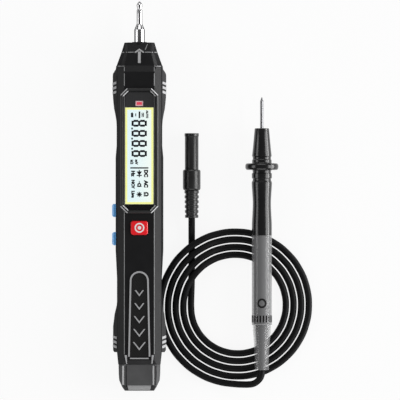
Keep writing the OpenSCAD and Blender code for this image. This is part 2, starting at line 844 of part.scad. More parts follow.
module circuit_board() color([0.1, 0.35, 0.2]) difference() {
    mid_block(board_w, y_board, y_board_end, board_z, board_top_z);
    at_screws() translate([0, 0, board_z - cut]) cylinder(d = boss_d + 2 * run_gap, h = board_t + 2 * cut);
}

// Measuring chips under the board
chip_w = 9;
chip_h = 1.5;
small_chip_w = 4.4;
module board_chips() color([0.08, 0.08, 0.09]) {
    mid_block(chip_w, y_chip + chip_w / 2, y_chip - chip_w / 2, board_z - chip_h, board_z);
    for (x = [-1, 1])
        translate([x * chip_w / 2, y_chip - chip_w - small_chip_w, board_z - chip_h / 2])
            cube([small_chip_w, small_chip_w, chip_h], center = true);
}
y_chip = y_lcd - chip_w;

// Disc thermistor that guards the input, standing on the board's underside
thermistor_d = 7;
thermistor_t = 3;
module input_thermistor() color([0.2, 0.35, 0.6])
    translate([board_w / 3, y_board - thermistor_d, board_z - thermistor_t])
        cylinder(d = thermistor_d, h = thermistor_t);

buzzer_d = 9;
buzzer_h = 3.6;
buzzer_gap = 1;
module buzzer() color([0.06, 0.06, 0.06])
    translate([buzzer_d / 4, y_lcd_end + buzzer_gap + buzzer_d / 2, board_z - buzzer_h]) difference() {
        cylinder(d = buzzer_d, h = buzzer_h);
        translate([0, 0, -cut]) cylinder(d = nub_d, h = cut + plate_t);
    }

// Two cells side by side, turned end for end
module cell(x, flip) color([0.75, 0.6, 0.25]) translate([x, (y_bay_top + y_bay_end) / 2, cell_z]) {
    mirror([0, flip, 0]) translate([0, -bay_l / 2 + plate_t + bay_gap, 0]) rotate([-90, 0, 0]) {
        cylinder(d = button_d, h = cell_l);
        translate([0, 0, button_l]) cylinder(d = cell_d, h = cell_l - button_l);
    }
}
module left_battery() cell(-cell_x, 0);
module right_battery() cell(cell_x, 1);

// Contact plates on the bay walls: two at the front end, one joining both cells at the tail end
plate_h = 6;
plate_w = 9;
module battery_contacts() color([0.8, 0.8, 0.82]) {
    for (x = [-cell_x, cell_x])
        translate([x - plate_w / 2, y_bay_top - plate_t, cell_z - plate_h / 2])
            cube([plate_w, plate_t, plate_h]);
    translate([-cell_x - plate_w / 2, y_bay_end, cell_z - plate_h / 2])
        cube([2 * cell_x + plate_w, plate_t, plate_h]);
}

// Cone-shaped springs, each one unbroken wire that grows wider towards its plate
spring_r = 3.4;
spring_top_r = 2.2;
spring_rings = 12;
spring_sides = 6;
function spring_points(x, y, way) = [
    for (i = [0:spring_curls * spring_rings])
        let (s = i / (spring_curls * spring_rings), a = 360 * i / spring_rings)
        [
            x + (spring_r + (spring_top_r - spring_r) * s) * cos(a),
            y + way * (spring_wire / 2 + s * (spring_l - spring_wire)),
            cell_z + (spring_r + (spring_top_r - spring_r) * s) * sin(a)
        ]
];
module battery_springs() color([0.8, 0.8, 0.82]) {
    tube(spring_points(-cell_x, y_bay_top - plate_t, -1), spring_wire / 2, spring_sides, [0, 1, 0]);
    tube(spring_points(cell_x, y_bay_end + plate_t, 1), spring_wire / 2, spring_sides, [0, 1, 0]);
}

// Sliding door: the back and both bevels over the cells, with two hooks and a thumb grip
hook_w = 3;
hook_l = 2.4;
hook_t = 0.9;
hook_x = 2.1;
thumb_ribs = 6;
thumb_pitch = 1.6;
thumb_depth = 0.5;
hook_z = wall + run_gap;
module hook_blocks(d) for (x = [-hook_x, hook_x]) block(
    [x - hook_w / 2 - d, y_bay_top - hook_l, hook_z - d],
    [x + hook_w / 2 + d, y_bay_top + hook_l + d, hook_z + hook_t + d]
);
module battery_door() color([0.1, 0.1, 0.11]) {
    difference() {
        intersection() {
            housing();
            door_zone(0);
        }
        door_core(door_t);
        for (i = [1:thumb_ribs])
            translate([0, y_tail + (thumb_ribs + i) * thumb_pitch, 0]) rotate([0, 90, 0])
                cylinder(r = thumb_depth, h = back_w - 2 * hook_w, center = true);
    }
    // Hooks step up behind the floor of the rear shell
    hook_blocks(0);
    for (x = [-hook_x, hook_x]) block(
        [x - hook_w / 2, y_bay_top - hook_l, door_t / 2],
        [x + hook_w / 2, y_bay_top - run_gap, hook_z + hook_t / 2]
    );
}

// Arched panel of the front grip, its light trim and its chevrons
panel_gap = 0.05;
module grip_panel() color([0.08, 0.08, 0.09])
    panel_arch(trim_w + panel_gap, body_h - panel_t, body_h - panel_gap);
module panel_bar(d, z0, z1) mid_block(
    panel_foot_w - 2 * trim_w - 2 * panel_gap + 2 * d, y_panel_end - bar_gap + d,
    y_panel_end - bar_gap - bar_share * trim_w - d, z0, z1
);
bar_share = 0.7;
module grip_trim() color([0.65, 0.65, 0.66]) {
    difference() {
        panel_arch(0, body_h - panel_t, body_h + trim_h);
        panel_arch(trim_w, body_h - panel_t - cut, body_h + trim_h + cut);
    }
    panel_bar(0, body_h - panel_t, body_h + trim_h);
}
// Each chevron is a little wider than the one above it
chevron_half = 2.5;
chevron_grow = 0.27;
chevron_drop = 3.4;
chevron_drop_grow = 0.3;
chevron_apex_share = 1.4;
chevron_start = 10.4;
module grip_chevrons() color([0.7, 0.7, 0.71]) for (i = [0:chevrons - 1])
    translate([0, y_panel - chevron_start - i * chevron_pitch, body_h - panel_gap])
        linear_extrude(trim_h) polygon(chevron(
            chevron_half + i * chevron_grow, chevron_drop + i * chevron_drop_grow
        ));
function chevron(w, drop) = [
    [-w, 0], [0, -drop], [w, 0],
    [w - chevron_stroke, 0], [0, chevron_stroke * chevron_apex_share - drop], [chevron_stroke - w, 0]
];

// Side grips bulge in plan, and their faces slope away from the shell
upper_bulge_shares = [
    [0, 0.1], [0.06, 0.25], [0.13, 0.93], [0.17, 1], [0.43, 1], [0.53, 0.93], [0.63, 0.8],
    [0.72, 0.64], [0.82, 0.32], [0.92, 0.08], [1, 0.02]
];
lower_bulge_shares = [
    [0, 0.7], [0.04, 1], [0.52, 1], [0.64, 0.8], [0.76, 0.62], [0.88, 0.25], [0.94, 0.08], [1, 0.02]
];
// A grip is [place of its outer end, signed length, foot, table of bulges]
upper_grip = [y_shell, upper_grip_l, neck_half, upper_bulge_shares];
lower_grip = [y_tail + heel_ease, -lower_grip_l, waist_half, lower_bulge_shares];
// A grip grown by d all round
module side_grip(g, d) intersection() {
    translate([0, 0, axis_z - grip_h]) linear_extrude(2 * grip_h) polygon(concat(
        [for (s = g[3]) [g[2] + s[1] * grip_out + d, g[0] - s[0] * g[1]]],
        [[g[2] - cut, g[0] - g[1]], [g[2] - cut, g[0]]]
    ));
    along(g[0] + abs(g[1]), g[0] - abs(g[1])) polygon([
        [g[2], axis_z - grip_h / 2 - d],
        [g[2] + grip_out + d, axis_z - grip_face_h / 2 - d],
        [g[2] + grip_out + d, axis_z + grip_face_h / 2 + d],
        [g[2], axis_z + grip_h / 2 + d]
    ]);
}
// Three slanted bars across a grip
slash_slant = 1.1;
slash_depth = 0.5;
slash_proud = 0.15;
upper_slash_gap = 8.6;
lower_slash_gap = 2.1;
module slash_bars(g) {
    way = sign(g[1]);
    start = way > 0 ? upper_slash_gap : lower_slash_gap;
    for (i = [0:2])
        translate([g[2], g[0] - way * (start + i * slash_pitch), axis_z - grip_h]) linear_extrude(2 * grip_h)
            polygon([
                [slash_depth / 2, 0],
                [grip_out + cut, -way * slash_slant],
                [grip_out + cut, -way * (slash_slant + slash_l)],
                [slash_depth / 2, -way * slash_l]
            ]);
}
module slashed_grip(g) color([0.2, 0.2, 0.21]) difference() {
    side_grip(g, 0);
    difference() {
        slash_bars(g);
        side_grip(g, -slash_depth);
    }
}
module slashes(g) difference() {
    intersection() {
        slash_bars(g);
        side_grip(g, slash_proud);
    }
    side_grip(g, -slash_depth);
}
module upper_right_grip() slashed_grip(upper_grip);
module upper_left_grip() mirror([1, 0, 0]) slashed_grip(upper_grip);
module lower_right_grip() slashed_grip(lower_grip);
module lower_left_grip() mirror([1, 0, 0]) slashed_grip(lower_grip);
module grip_slashes() color([0.75, 0.75, 0.76]) for (m = [0, 1]) mirror([m, 0, 0]) {
    slashes(upper_grip);
    slashes(lower_grip);
}

// Tail block: stepped in from the shells, railed, sloped at its end and bored for the jack
jack_wall = 1.3;
jack_tube_d = jack_d + 2 * jack_wall;
jack_back_t = 1;
rail_x = 8.5;
rail_half_w = 1.1;
rail_h = 0.7;
rail_slope_h = 0.8;
tail_face_z = body_h - tail_inset;
tail_plan_shares = [[0.7, 0], [0.83, 0.166], [0.965, 0.393], [0.99, 0.62], [1, 1]];
rail_section = [
    [rail_x - rail_half_w, axis_z],
    [rail_x + rail_half_w, axis_z],
    [rail_x + rail_half_w, tail_face_z - rail_slope_h],
    [rail_x, tail_face_z + rail_h],
    [rail_x - rail_half_w, tail_face_z]
];
y_jack = y_end + jack_depth;
module tail_block() color([0.25, 0.25, 0.26]) difference() {
    union() {
        intersection() {
            union() {
                along(y_tail, y_end) polygon(inset(housing_section, tail_inset));
                for (m = [0, 1]) mirror([m, 0, 0]) along(y_tail, y_end) polygon(rail_section);
            }
            linear_extrude(body_h) polygon(mirrored([
                for (s = tail_plan_shares) [s[0] * tail_w / 2, y_end + s[1] * tail_l]
            ]));
            across(2 * tail_w) polygon([
                [y_end, tail_inset + tail_slope_h / 2],
                [y_end + tail_slope_l, tail_inset],
                [y_tail, tail_inset],
                [y_tail, body_h],
                [y_end + tail_slope_l, tail_face_z + rail_h],
                [y_end, tail_face_z - tail_slope_h]
            ]);
        }
        bar_y(jack_tube_d, y_jack + jack_back_t, y_tail - cut);
    }
    bar_y(jack_d, y_jack, y_end - cut);
    // Slot for the tag of the jack sleeve
    mid_block(
        tag_w + 2 * fit_gap, y_jack + fit_gap, y_jack - plate_t - fit_gap, axis_z, axis_z + jack_tube_d / 2 + cut
    );
}

// Jack sleeve with its seat and solder tag
tag_w = 2;
wire_d = 1.6;
wire_gap = 0.65;
wire_z = ceiling_z - wire_gap - wire_d / 2;
module jack_sleeve() color([0.82, 0.7, 0.4]) {
    turned([
        [sleeve_bore / 2, y_jack - sleeve_l],
        [sleeve_d / 2, y_jack - sleeve_l],
        [sleeve_d / 2, y_jack - plate_t],
        [jack_d / 2 - fit_gap, y_jack - plate_t],
        [jack_d / 2 - fit_gap, y_jack],
        [sleeve_bore / 2, y_jack]
    ]);
    mid_block(tag_w, y_jack, y_jack - plate_t, axis_z + sleeve_d / 2, wire_z - wire_d / 4);
}

// Wire from the tag over the cells to the board
wire_inside = 3;
module jack_wire() color([0.7, 0.1, 0.1]) {
    bar_y(wire_d, y_board_end + wire_inside, y_jack - wire_d, 0, wire_z);
    translate([0, y_board_end + wire_inside, board_top_z]) cylinder(d = wire_d, h = wire_z - board_top_z);
    translate([0, y_board_end + wire_inside, wire_z]) sphere(d = wire_d);
}

module housing_screws() color([0.6, 0.6, 0.62]) at_screws() {
    translate([0, 0, screw_recess]) cylinder(d = screw_head_d, h = screw_head_h);
    translate([0, 0, screw_seat_z]) cylinder(d = screw_d, h = seam_z - screw_seat_z + pilot_l - cut);
}

// Plug: a shroud about the pin, a grip and a ribbed relief
pin_recess = 2;
pin_point_l = 1.2;
pin_seat_l = 7;
shroud_floor_t = 1.6;
grip_edge = 0.8;
rib_share = 0.62;
rib_taper = 0.06;
rib_depth = 0.4;
module plug_shroud() color([0.12, 0.12, 0.13]) turned([
    [shroud_bore / 2, y_shroud_end + shroud_floor_t],
    [shroud_bore / 2, plug_y],
    [rim_d / 2 - fit_gap, plug_y],
    [rim_d / 2, plug_y - fit_gap],
    [rim_d / 2, plug_y - rim_l],
    [shroud_d / 2, plug_y - rim_l],
    [shroud_d / 2, y_shroud_end],
    [plug_pin_d / 2, y_shroud_end],
    [plug_pin_d / 2, y_shroud_end + shroud_floor_t]
], plug_x, plug_z);
module plug_pin() color([0.82, 0.7, 0.4]) turned([
    [0, y_shroud_end - pin_seat_l],
    [plug_pin_d / 2, y_shroud_end - pin_seat_l],
    [plug_pin_d / 2, plug_y - pin_recess - pin_point_l],
    [plug_pin_d / 4, plug_y - pin_recess],
    [0, plug_y - pin_recess]
], plug_x, plug_z);
module plug_grip() color([0.1, 0.1, 0.11]) turned([
    [plug_pin_d / 2, y_shroud_end],
    [plug_grip_d / 2 - grip_edge, y_shroud_end],
    [plug_grip_d / 2, y_shroud_end - grip_edge],
    [plug_grip_d / 2, y_plug_end + grip_edge],
    [plug_grip_d / 2 - grip_edge, y_plug_end],
    [0, y_plug_end],
    [0, y_shroud_end - pin_seat_l],
    [plug_pin_d / 2, y_shroud_end - pin_seat_l]
], plug_x, plug_z);
module plug_relief() color([0.1, 0.1, 0.11]) {
    pitch = relief_l / (relief_ribs - 1 + rib_share);
    turned([
        [0, y_plug_end],
        for (i = [0:relief_ribs - 1])
            let (r = relief_d / 2 - i * rib_taper, y = y_plug_end - i * pitch)
            each [
                [i == 0 ? r : r - rib_depth, y], [r, y],
                [r, y - rib_share * pitch], [r - rib_depth, y - rib_share * pitch]
            ],
        [0, y_relief_end]
    ], plug_x, plug_z);
}

// A round tube along a line of points: one ring of n corners at each point, closed at both ends
function tangent(p, i) = unit(p[min(i + 1, len(p) - 1)] - p[max(i - 1, 0)]);
function ring(c, t, r, n, up) =
    let (u = unit(cross(t, up)), v = cross(u, t))
    [for (k = [0:n - 1]) c + r * (u * cos(360 * k / n) + v * sin(360 * k / n))];
module tube(p, r, n, up = [0, 0, 1]) {
    last = (len(p) - 1) * n;
    polyhedron(
        points = [for (i = [0:len(p) - 1]) each ring(p[i], tangent(p, i), r, n, up)],
        faces = [
            for (k = [1:n - 2]) [0, k + 1, k],
            for (i = [0:len(p) - 2], k = [0:n - 1])
                let (a = i * n + k, b = i * n + (k + 1) % n)
                each [[a, b, b + n], [a, b + n, a + n]],
            for (k = [1:n - 2]) [last, last + k, last + k + 1]
        ]
    );
}

// Middle line of the coil: flat turns that rise over the straight run, and up to the probe at the end
function coil_r(t) = coil_start_r + coil_pitch * t;
function turn_l(t) = 2 * PI * coil_r(t);
function cross_t(k) = k - acos((coil_x - plug_x) / coil_r(k - 0.11)) / 360;
function bump(s) = s < hump_flat ? 1
    : s < hump_flat + hump_slope ? (1 + cos(180 * (s - hump_flat) / hump_slope)) / 2 : 0;
function hump(t) = hump_h * max([for (k = [1:4]) bump(abs(t - cross_t(k)) * turn_l(t))]);
function rise(t) =
    let (s = max(0, rise_l - rise_tail_l - cord_d - (coil_turns - t) * turn_l(t)))
    rise_h * (1 - cos(180 * s / rise_l)) / 2;
function coil_point(t) = [
    coil_x - coil_r(t) * cos(360 * t),
    coil_y - coil_r(t) * sin(360 * t),
    cord_r + max(hump(t), rise(t))
];
coil_points = [for (i = [0:coil_turns * coil_rings]) coil_point(i / coil_rings)];
coil_last = len(coil_points) - 1;
lead_in = coil_points[0] + cord_d * unit(coil_points[0] - coil_point(1 / coil_rings / 8));
lead_out = coil_points[coil_last]
    + cord_d * unit(coil_points[coil_last] - coil_point(coil_turns - 1 / coil_rings / 8));
run_points = concat(
    [for (p = run_route) [plug_x + p[0], y_relief_end + p[1], max(cord_r, plug_z + p[2])]],
    [lead_in]
);
tail_points = concat([lead_out], [for (p = tail_route) [probe_x, y_probe_end, probe_z] + p]);

module lead_run() color([0.1, 0.1, 0.1]) tube(run_points, cord_r, cord_sides);
module lead_coil() color([0.1, 0.1, 0.1])
    tube(concat([lead_in], coil_points, [lead_out]), cord_r, coil_sides);
module lead_tail() color([0.1, 0.1, 0.1]) tube(tail_points, cord_r, cord_sides);

// Least distance between the middle lines, less one cord
function to_segment(p, a, b) =
    let (s = min(1, max(0, (p - a) * (b - a) / ((b - a) * (b - a)))))
    norm(p - a - s * (b - a));
function least_gap(p, q, apart, d) = min([
    for (i = [0:len(p) - 1], j = [0:len(q) - 2])
        if (min(abs(i - j), abs(i - j - 1)) >= apart) to_segment(p[i], q[j], q[j + 1])
]) - d;
echo(coil_to_itself = least_gap(coil_points, coil_points, coil_rings / 2, cord_d));
echo(coil_to_run = least_gap([for (p = coil_points) if (p[2] > cord_d) p], run_points, 0, cord_d));
spring_example = spring_points(0, 0, 1);
echo(spring_to_itself = least_gap(spring_example, spring_example, spring_rings / 2, spring_wire));

// Probe: a needle in a ferrule, a black front handle with its guard, and a grey rear handle
nose_w = 0.3;
needle_point_l = 2.4;
needle_seat_l = 12;
needle_root_d = 2.4;
ferrule_d = 3.6;
ferrule_l = 14;
guard_edge = 1.2;
groove_r = 5.05;
groove_edge = 0.3;
front_r = 5.4;
rear_d = 11;
module probe_needle() color([0.8, 0.81, 0.83]) turned([
    [0, y_nib - needle_seat_l],
    [needle_root_d / 2, y_nib - needle_seat_l],
    [needle_root_d / 2, y_nib],
    [needle_d / 2, y_nib],
    [needle_d / 2, probe_y - needle_point_l],
    [nose_w / 2, probe_y],
    [0, probe_y]
], probe_x, probe_z);
y_ferrule = y_nib - needle_seat_l + needle_d;
module probe_ferrule() color([0.8, 0.66, 0.35]) turned([
    [0, y_ferrule - ferrule_l],
    [ferrule_d / 2, y_ferrule - ferrule_l],
    [ferrule_d / 2, y_ferrule],
    [needle_root_d / 2, y_ferrule],
    [needle_root_d / 2, y_nib - needle_seat_l],
    [0, y_nib - needle_seat_l]
], probe_x, probe_z);
// Outline of the front handle behind the guard, as shares of its length and of its half diameter
waist_shares = [
    [0, 0.9], [0.04, 0.9], [0.05, 0.99], [0.12, 0.99], [0.13, 0.9], [0.16, 0.9], [0.19, 1],
    [0.28, 0.96], [0.38, 0.92]
];
waist_place_share = 0.5;
waist_end_share = 0.83;
module probe_front_handle() color([0.09, 0.09, 0.1]) turned([
    [needle_root_d / 2, y_nib],
    [nib_d / 2 - groove_edge, y_nib],
    [nib_d / 2, y_nib - groove_edge],
    [front_r, y_guard + guard_t],
    [groove_r, y_guard + guard_t - groove_edge],
    [groove_r, y_guard + guard_t / 2],
    [front_r, y_guard + guard_t / 2 - groove_edge],
    [front_r, y_guard],
    [guard_d / 2 - guard_edge, y_guard],
    [guard_d / 2, y_guard - guard_edge],
    [guard_d / 2, y_handle + guard_edge],
    [guard_d / 2 - guard_edge, y_handle],
    for (s = waist_shares) [s[1] * handle_d / 2, y_handle - s[0] * grip_l],
    [waist_d / 2, y_handle - waist_place_share * grip_l],
    [waist_d / 2 + groove_edge, y_handle - (waist_place_share + waist_end_share) / 2 * grip_l],
    [rear_d / 2, y_handle - waist_end_share * grip_l],
    [rear_d / 2, y_rear],
    [0, y_rear],
    [0, y_ferrule - ferrule_l],
    [ferrule_d / 2, y_ferrule - ferrule_l],
    [ferrule_d / 2, y_ferrule],
    [needle_root_d / 2, y_ferrule]
], probe_x, probe_z);

// Grey rear handle with a thicker band near its end
band_l = 4.4;
band_end_l = 1.1;
band_h = 0.15;
module probe_rear_handle() color([0.42, 0.42, 0.43]) turned([
    [0, y_probe_relief],
    [rear_d / 2, y_probe_relief],
    [rear_d / 2, y_probe_relief + band_end_l],
    [rear_d / 2 + band_h, y_probe_relief + band_end_l],
    [rear_d / 2 + band_h, y_probe_relief + band_end_l + band_l],
    [rear_d / 2, y_probe_relief + band_end_l + band_l],
    [rear_d / 2, y_rear],
    [0, y_rear]
], probe_x, probe_z);

// Ring mark that follows the round of the rear handle
mark_d = 5.2;
mark_w = 0.9;
mark_h = 0.15;
mark_gap = 12;
module probe_ring_mark() color([0.05, 0.05, 0.05]) {
    y_mark = y_probe_relief + mark_gap;
    intersection() {
        translate([probe_x, y_mark, probe_z]) difference() {
            cylinder(d = mark_d, h = rear_d);
            translate([0, 0, -cut]) cylinder(d = mark_d - 2 * mark_w, h = rear_d + 2 * cut);
        }
        difference() {
            bar_y(rear_d + 2 * mark_h, y_mark + mark_d, y_mark - mark_d, probe_x, probe_z);
            bar_y(rear_d, y_mark + mark_d + cut, y_mark - mark_d - cut, probe_x, probe_z);
        }
    }
}

// Tapered relief, as shares of its length and of its drop in radius
relief_shares = [[0, 0], [0.18, 0.22], [0.38, 0.57], [0.82, 1], [1, 1]];
module probe_relief() color([0.45, 0.45, 0.46]) turned([
    [0, y_probe_relief],
    for (s = relief_shares) [
        probe_relief_d / 2 - s[1] * (probe_relief_d - probe_relief_end_d) / 2,
        y_probe_relief - s[0] * probe_relief_l
    ],
    [0, y_probe_end]
], probe_x, probe_z);

front_shell();
rear_shell();
nose_cap();
tester_tip();
tip_contact();
sensing_antenna();
display_bezel();
display_window();
lcd_panel();
lcd_backlight();
lcd_contact_strip();
indicator_lens();
indicator_led();
select_button();
upper_side_button();
lower_side_button();
circuit_board();
select_switch();
side_switches();
board_chips();
input_thermistor();
buzzer();
left_battery();
right_battery();
battery_contacts();
battery_springs();
battery_door();
grip_panel();
grip_trim();
grip_chevrons();
upper_left_grip();
upper_right_grip();
lower_left_grip();
lower_right_grip();
grip_slashes();
tail_block();
jack_sleeve();
jack_wire();
housing_screws();
plug_shroud();
plug_pin();
plug_grip();
plug_relief();
lead_run();
lead_coil();
lead_tail();
probe_relief();
probe_rear_handle();
probe_ring_mark();
probe_front_handle();
probe_ferrule();
probe_needle();
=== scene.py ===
import math

import bmesh
import bpy
from bpy.props import FloatProperty, FloatVectorProperty, IntProperty, PointerProperty
from mathutils import Matrix, Vector
from mathutils.bvhtree import BVHTree


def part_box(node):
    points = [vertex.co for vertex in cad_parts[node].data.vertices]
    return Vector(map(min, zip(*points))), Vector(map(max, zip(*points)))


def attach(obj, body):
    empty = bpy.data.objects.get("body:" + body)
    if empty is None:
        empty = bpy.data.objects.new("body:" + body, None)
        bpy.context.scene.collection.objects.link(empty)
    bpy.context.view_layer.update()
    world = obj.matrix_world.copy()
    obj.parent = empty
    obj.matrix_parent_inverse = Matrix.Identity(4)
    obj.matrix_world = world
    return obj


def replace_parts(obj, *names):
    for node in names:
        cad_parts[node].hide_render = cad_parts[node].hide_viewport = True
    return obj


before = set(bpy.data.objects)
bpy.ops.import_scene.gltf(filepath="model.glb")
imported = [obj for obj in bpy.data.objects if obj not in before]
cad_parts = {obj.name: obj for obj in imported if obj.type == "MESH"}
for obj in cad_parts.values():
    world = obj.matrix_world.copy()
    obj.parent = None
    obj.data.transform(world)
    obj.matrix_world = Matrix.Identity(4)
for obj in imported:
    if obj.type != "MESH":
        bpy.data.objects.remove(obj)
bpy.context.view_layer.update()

bl_info = {
    "name": "Voltage tester",
    "version": (1, 0, 0),
    "blender": (4, 5, 0),
    "location": "View3D > Sidebar > Tester",
    "description": "Dresses the pen-shaped voltage tester, its coiled lead and its probe",
    "category": "Object",
}

MM = 0.001
HOUSING = "housing"
# Middle lines of the steel tip, the plug and the probe: (across, height), in mm
TIP = (0, 10.0)
PLUG = (28.7, 4.87)
PROBE = (67.3, 9.2)
# Where the cord leaves the plug and the probe, along the pen, in mm
PLUG_END, PROBE_END = -12.1, -95.8
# Points closer than this are one point, in metres
WELD = 1e-7
# CAD faces that meet at less than FLAT are one face; edges sharper than SHARP are rounded
FLAT, SHARP = math.radians(0.6), math.radians(14)
# Thickness of a character on the display, in mm
INK = 0.03
# Width of the camera's sensor, in mm
SENSOR = 36.0


# ---------------------------------------------------------------- settings
def colour(name, description, default):
    return FloatVectorProperty(
        name=name, description=description, default=default, size=3, subtype="COLOR", min=0, max=1)


def number(name, description, default):
    return FloatProperty(name=name, description=description, default=default)


def length(name, description, default):
    return FloatProperty(
        name=name, description=description, default=default, subtype="DISTANCE", unit="LENGTH")


class CameraSettings(bpy.types.PropertyGroup):
    lens: number("Lens", "Focal length in mm", 500.0)
    width: length("Width", "Width of the picture at the middle of the pen", 0.220)
    centre_x: length("Centre across", "Middle of the picture, across", 0.03328)
    centre_y: length("Centre along", "Middle of the picture, along the pen", -0.00226)
    plane: length("Plane", "Height at which the width holds", 0.010)


class CordSettings(bpy.types.PropertyGroup):
    diameter: length("Diameter", "Diameter of the cord", 0.00365)
    start_radius: length("Start radius", "Radius where the coil starts", 0.0251)
    pitch: length("Pitch", "Step of the coil from turn to turn", 0.00422)
    centre_x: length("Centre across", "Middle of the coil, across", 0.0534)
    centre_y: length("Centre along", "Middle of the coil, along the pen", -0.0607)
    hump: length("Hump", "How high the turns rise over the straight run", 0.004)
    turns: number("Turns", "Turns of the coil", 4.25)
    steps: IntProperty(name="Steps", description="Points in a turn", default=24)


class FinishSettings(bpy.types.PropertyGroup):
    housing: colour("Housing", "Black of the moulded housing", (0.0105, 0.0105, 0.0112))
    bezel: colour("Bezel", "Black of the display bezel", (0.030, 0.030, 0.031))
    grip: colour("Grips", "Dark grey of the side grips", (0.023, 0.023, 0.024))
    tail: colour("Tail block", "Dark grey of the tail block", (0.090, 0.090, 0.092))
    trim: colour("Trim", "Pale grey of the trim, the chevrons and the slashes", (0.40, 0.40, 0.41))
    button: colour("Select button", "Red of the select button", (0.84, 0.012, 0.020))
    key: colour("Side buttons", "Blue of the side buttons", (0.15, 0.50, 1.0))
    cord: colour("Cord", "Black of the cord", (0.007, 0.007, 0.0075))
    handle: colour("Rear handle", "Grey of the probe's rear handle", (0.28, 0.28, 0.285))
    steel: colour("Steel", "Colour of the polished steel", (0.72, 0.72, 0.73))
    rounding: length("Rounding", "Radius along the long edges of the housing", 0.0004)


class DisplaySettings(bpy.types.PropertyGroup):
    glow: number("Glow", "Strength of the lit display", 1.1)
    ink: colour("Ink", "Colour of the characters", (0.004, 0.006, 0.010))
    rim: length("Rim", "Width of the yellow rim", 0.0011)
    digit_height: length("Digit height", "Height of a digit", 0.0084)
    digit_width: length("Digit width", "Width of a digit", 0.0038)
    digit_pitch: length("Digit pitch", "Step from digit to digit", 0.00553)
    stroke: length("Stroke", "Width of a bar of a digit", 0.00118)


class StageSettings(bpy.types.PropertyGroup):
    sky: number("Sky", "Strength of the world's light", 0.14)
    left: number("Left light", "Power of the soft light at the left", 6.5)
    right: number("Right light", "Power of the soft light at the right", 12.0)
    low: number("Low light", "Power of the low light at the right", 18.0)
    tail: number("Tail light", "Power of the light beyond the tail", 6.0)
    tip: number("Tip light", "Power of the light beyond the tip", 5.0)


# ---------------------------------------------------------------- meshes
def add_object(name, mesh, body, material, smooth=None):
    """Puts a mesh into the scene as a finished piece that rides on a body."""
    piece = bpy.data.objects.new(name, mesh)
    bpy.context.scene.collection.objects.link(piece)
    mesh.materials.append(material)
    if smooth is not None:
        for face in mesh.polygons:
            face.use_smooth = True
        mesh.set_sharp_from_angle(angle=math.radians(smooth))
    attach(piece, body)
    return piece


def plain_mesh(bm, name):
    mesh = bpy.data.meshes.new(name)
    bm.to_mesh(mesh)
    bm.free()
    return mesh


def scale_mm(bm):
    bmesh.ops.scale(bm, vec=(MM, MM, MM), verts=bm.verts)


def solid(bm, name, body, material, smooth=None):
    """Makes a piece of closed forms drawn in mm, their normals outwards."""
    scale_mm(bm)
    bmesh.ops.remove_doubles(bm, verts=bm.verts, dist=WELD)
    bmesh.ops.recalc_face_normals(bm, faces=bm.faces)
    return add_object(name, plain_mesh(bm, name), body, material, smooth)


def turned(name, profile, line, material, smooth=38, steps=72):
    """Spins an outline of (radius, place along the pen) about a line along the pen, in mm."""
    bm = bmesh.new()
    verts = [bm.verts.new((line[0] + r, y, line[1])) for r, y in profile]
    edges = [bm.edges.new((verts[i], verts[i + 1])) for i in range(len(verts) - 1)]
    bmesh.ops.spin(
        bm, geom=verts + edges, cent=(line[0], 0, line[1]), axis=(0, 1, 0),
        angle=2 * math.pi, steps=steps, use_merge=True)
    bmesh.ops.remove_doubles(bm, verts=bm.verts, dist=WELD / MM)
    return solid(bm, name, HOUSING, material, smooth)


def oblong(x0, y0, x1, y1):
    return [(x0, y0), (x1, y0), (x1, y1), (x0, y1)]


def both_sides(shapes):
    return [[(side * x, y) for x, y in shape] for side in (-1, 1) for shape in shapes]


def flat_shape(bm, points, z, height):
    """A flat plate from a closed outline in mm, height thick upwards from z."""
    face = bm.faces.new([bm.verts.new((x, y, z)) for x, y in points])
    made = bmesh.ops.extrude_face_region(bm, geom=[face])
    top = [v for v in made["geom"] if isinstance(v, bmesh.types.BMVert)]
    bmesh.ops.translate(bm, vec=(0, 0, height), verts=top)


def bars(bm, boxes, z, height):
    for box in boxes:
        flat_shape(bm, oblong(*box), z, height)


def ring_plate(bm, x, y, outer, inner, z, height, steps=48):
    """A flat ring, or a disc where the inner radius is zero."""
    verts = [bm.verts.new((x + r, y, z + h)) for r, h in
             [(inner, 0), (outer, 0), (outer, height), (inner, height)]]
    edges = [bm.edges.new((verts[i], verts[(i + 1) % 4])) for i in range(4)]
    bmesh.ops.spin(bm, geom=verts + edges, cent=(x, y, z), axis=(0, 0, 1),
                   angle=2 * math.pi, steps=steps, use_merge=True)


def words(text, size, x, y, z, height):
    """Bold letters as a mesh in mm, centred on a place, with the tip of the pen to their left."""
    curve = bpy.data.curves.new("letters", "FONT")
    curve.body, curve.size, curve.extrude = text, size, height / 2
    curve.align_x, curve.align_y = "CENTER", "CENTER"
    curve.resolution_u, curve.offset = 3, 0.085 * size
    holder = bpy.data.objects.new("letters", curve)
    bpy.context.scene.collection.objects.link(holder)
    bpy.context.view_layer.update()
    shown = holder.evaluated_get(bpy.context.evaluated_depsgraph_get())
    mesh = bpy.data.meshes.new_from_object(shown)
    place = Matrix.Translation((x, y, z + height / 2))
    mesh.transform(place @ Matrix.Rotation(math.radians(-90), 4, "Z"))
    bpy.data.objects.remove(holder)
    bpy.data.curves.remove(curve)
    return mesh


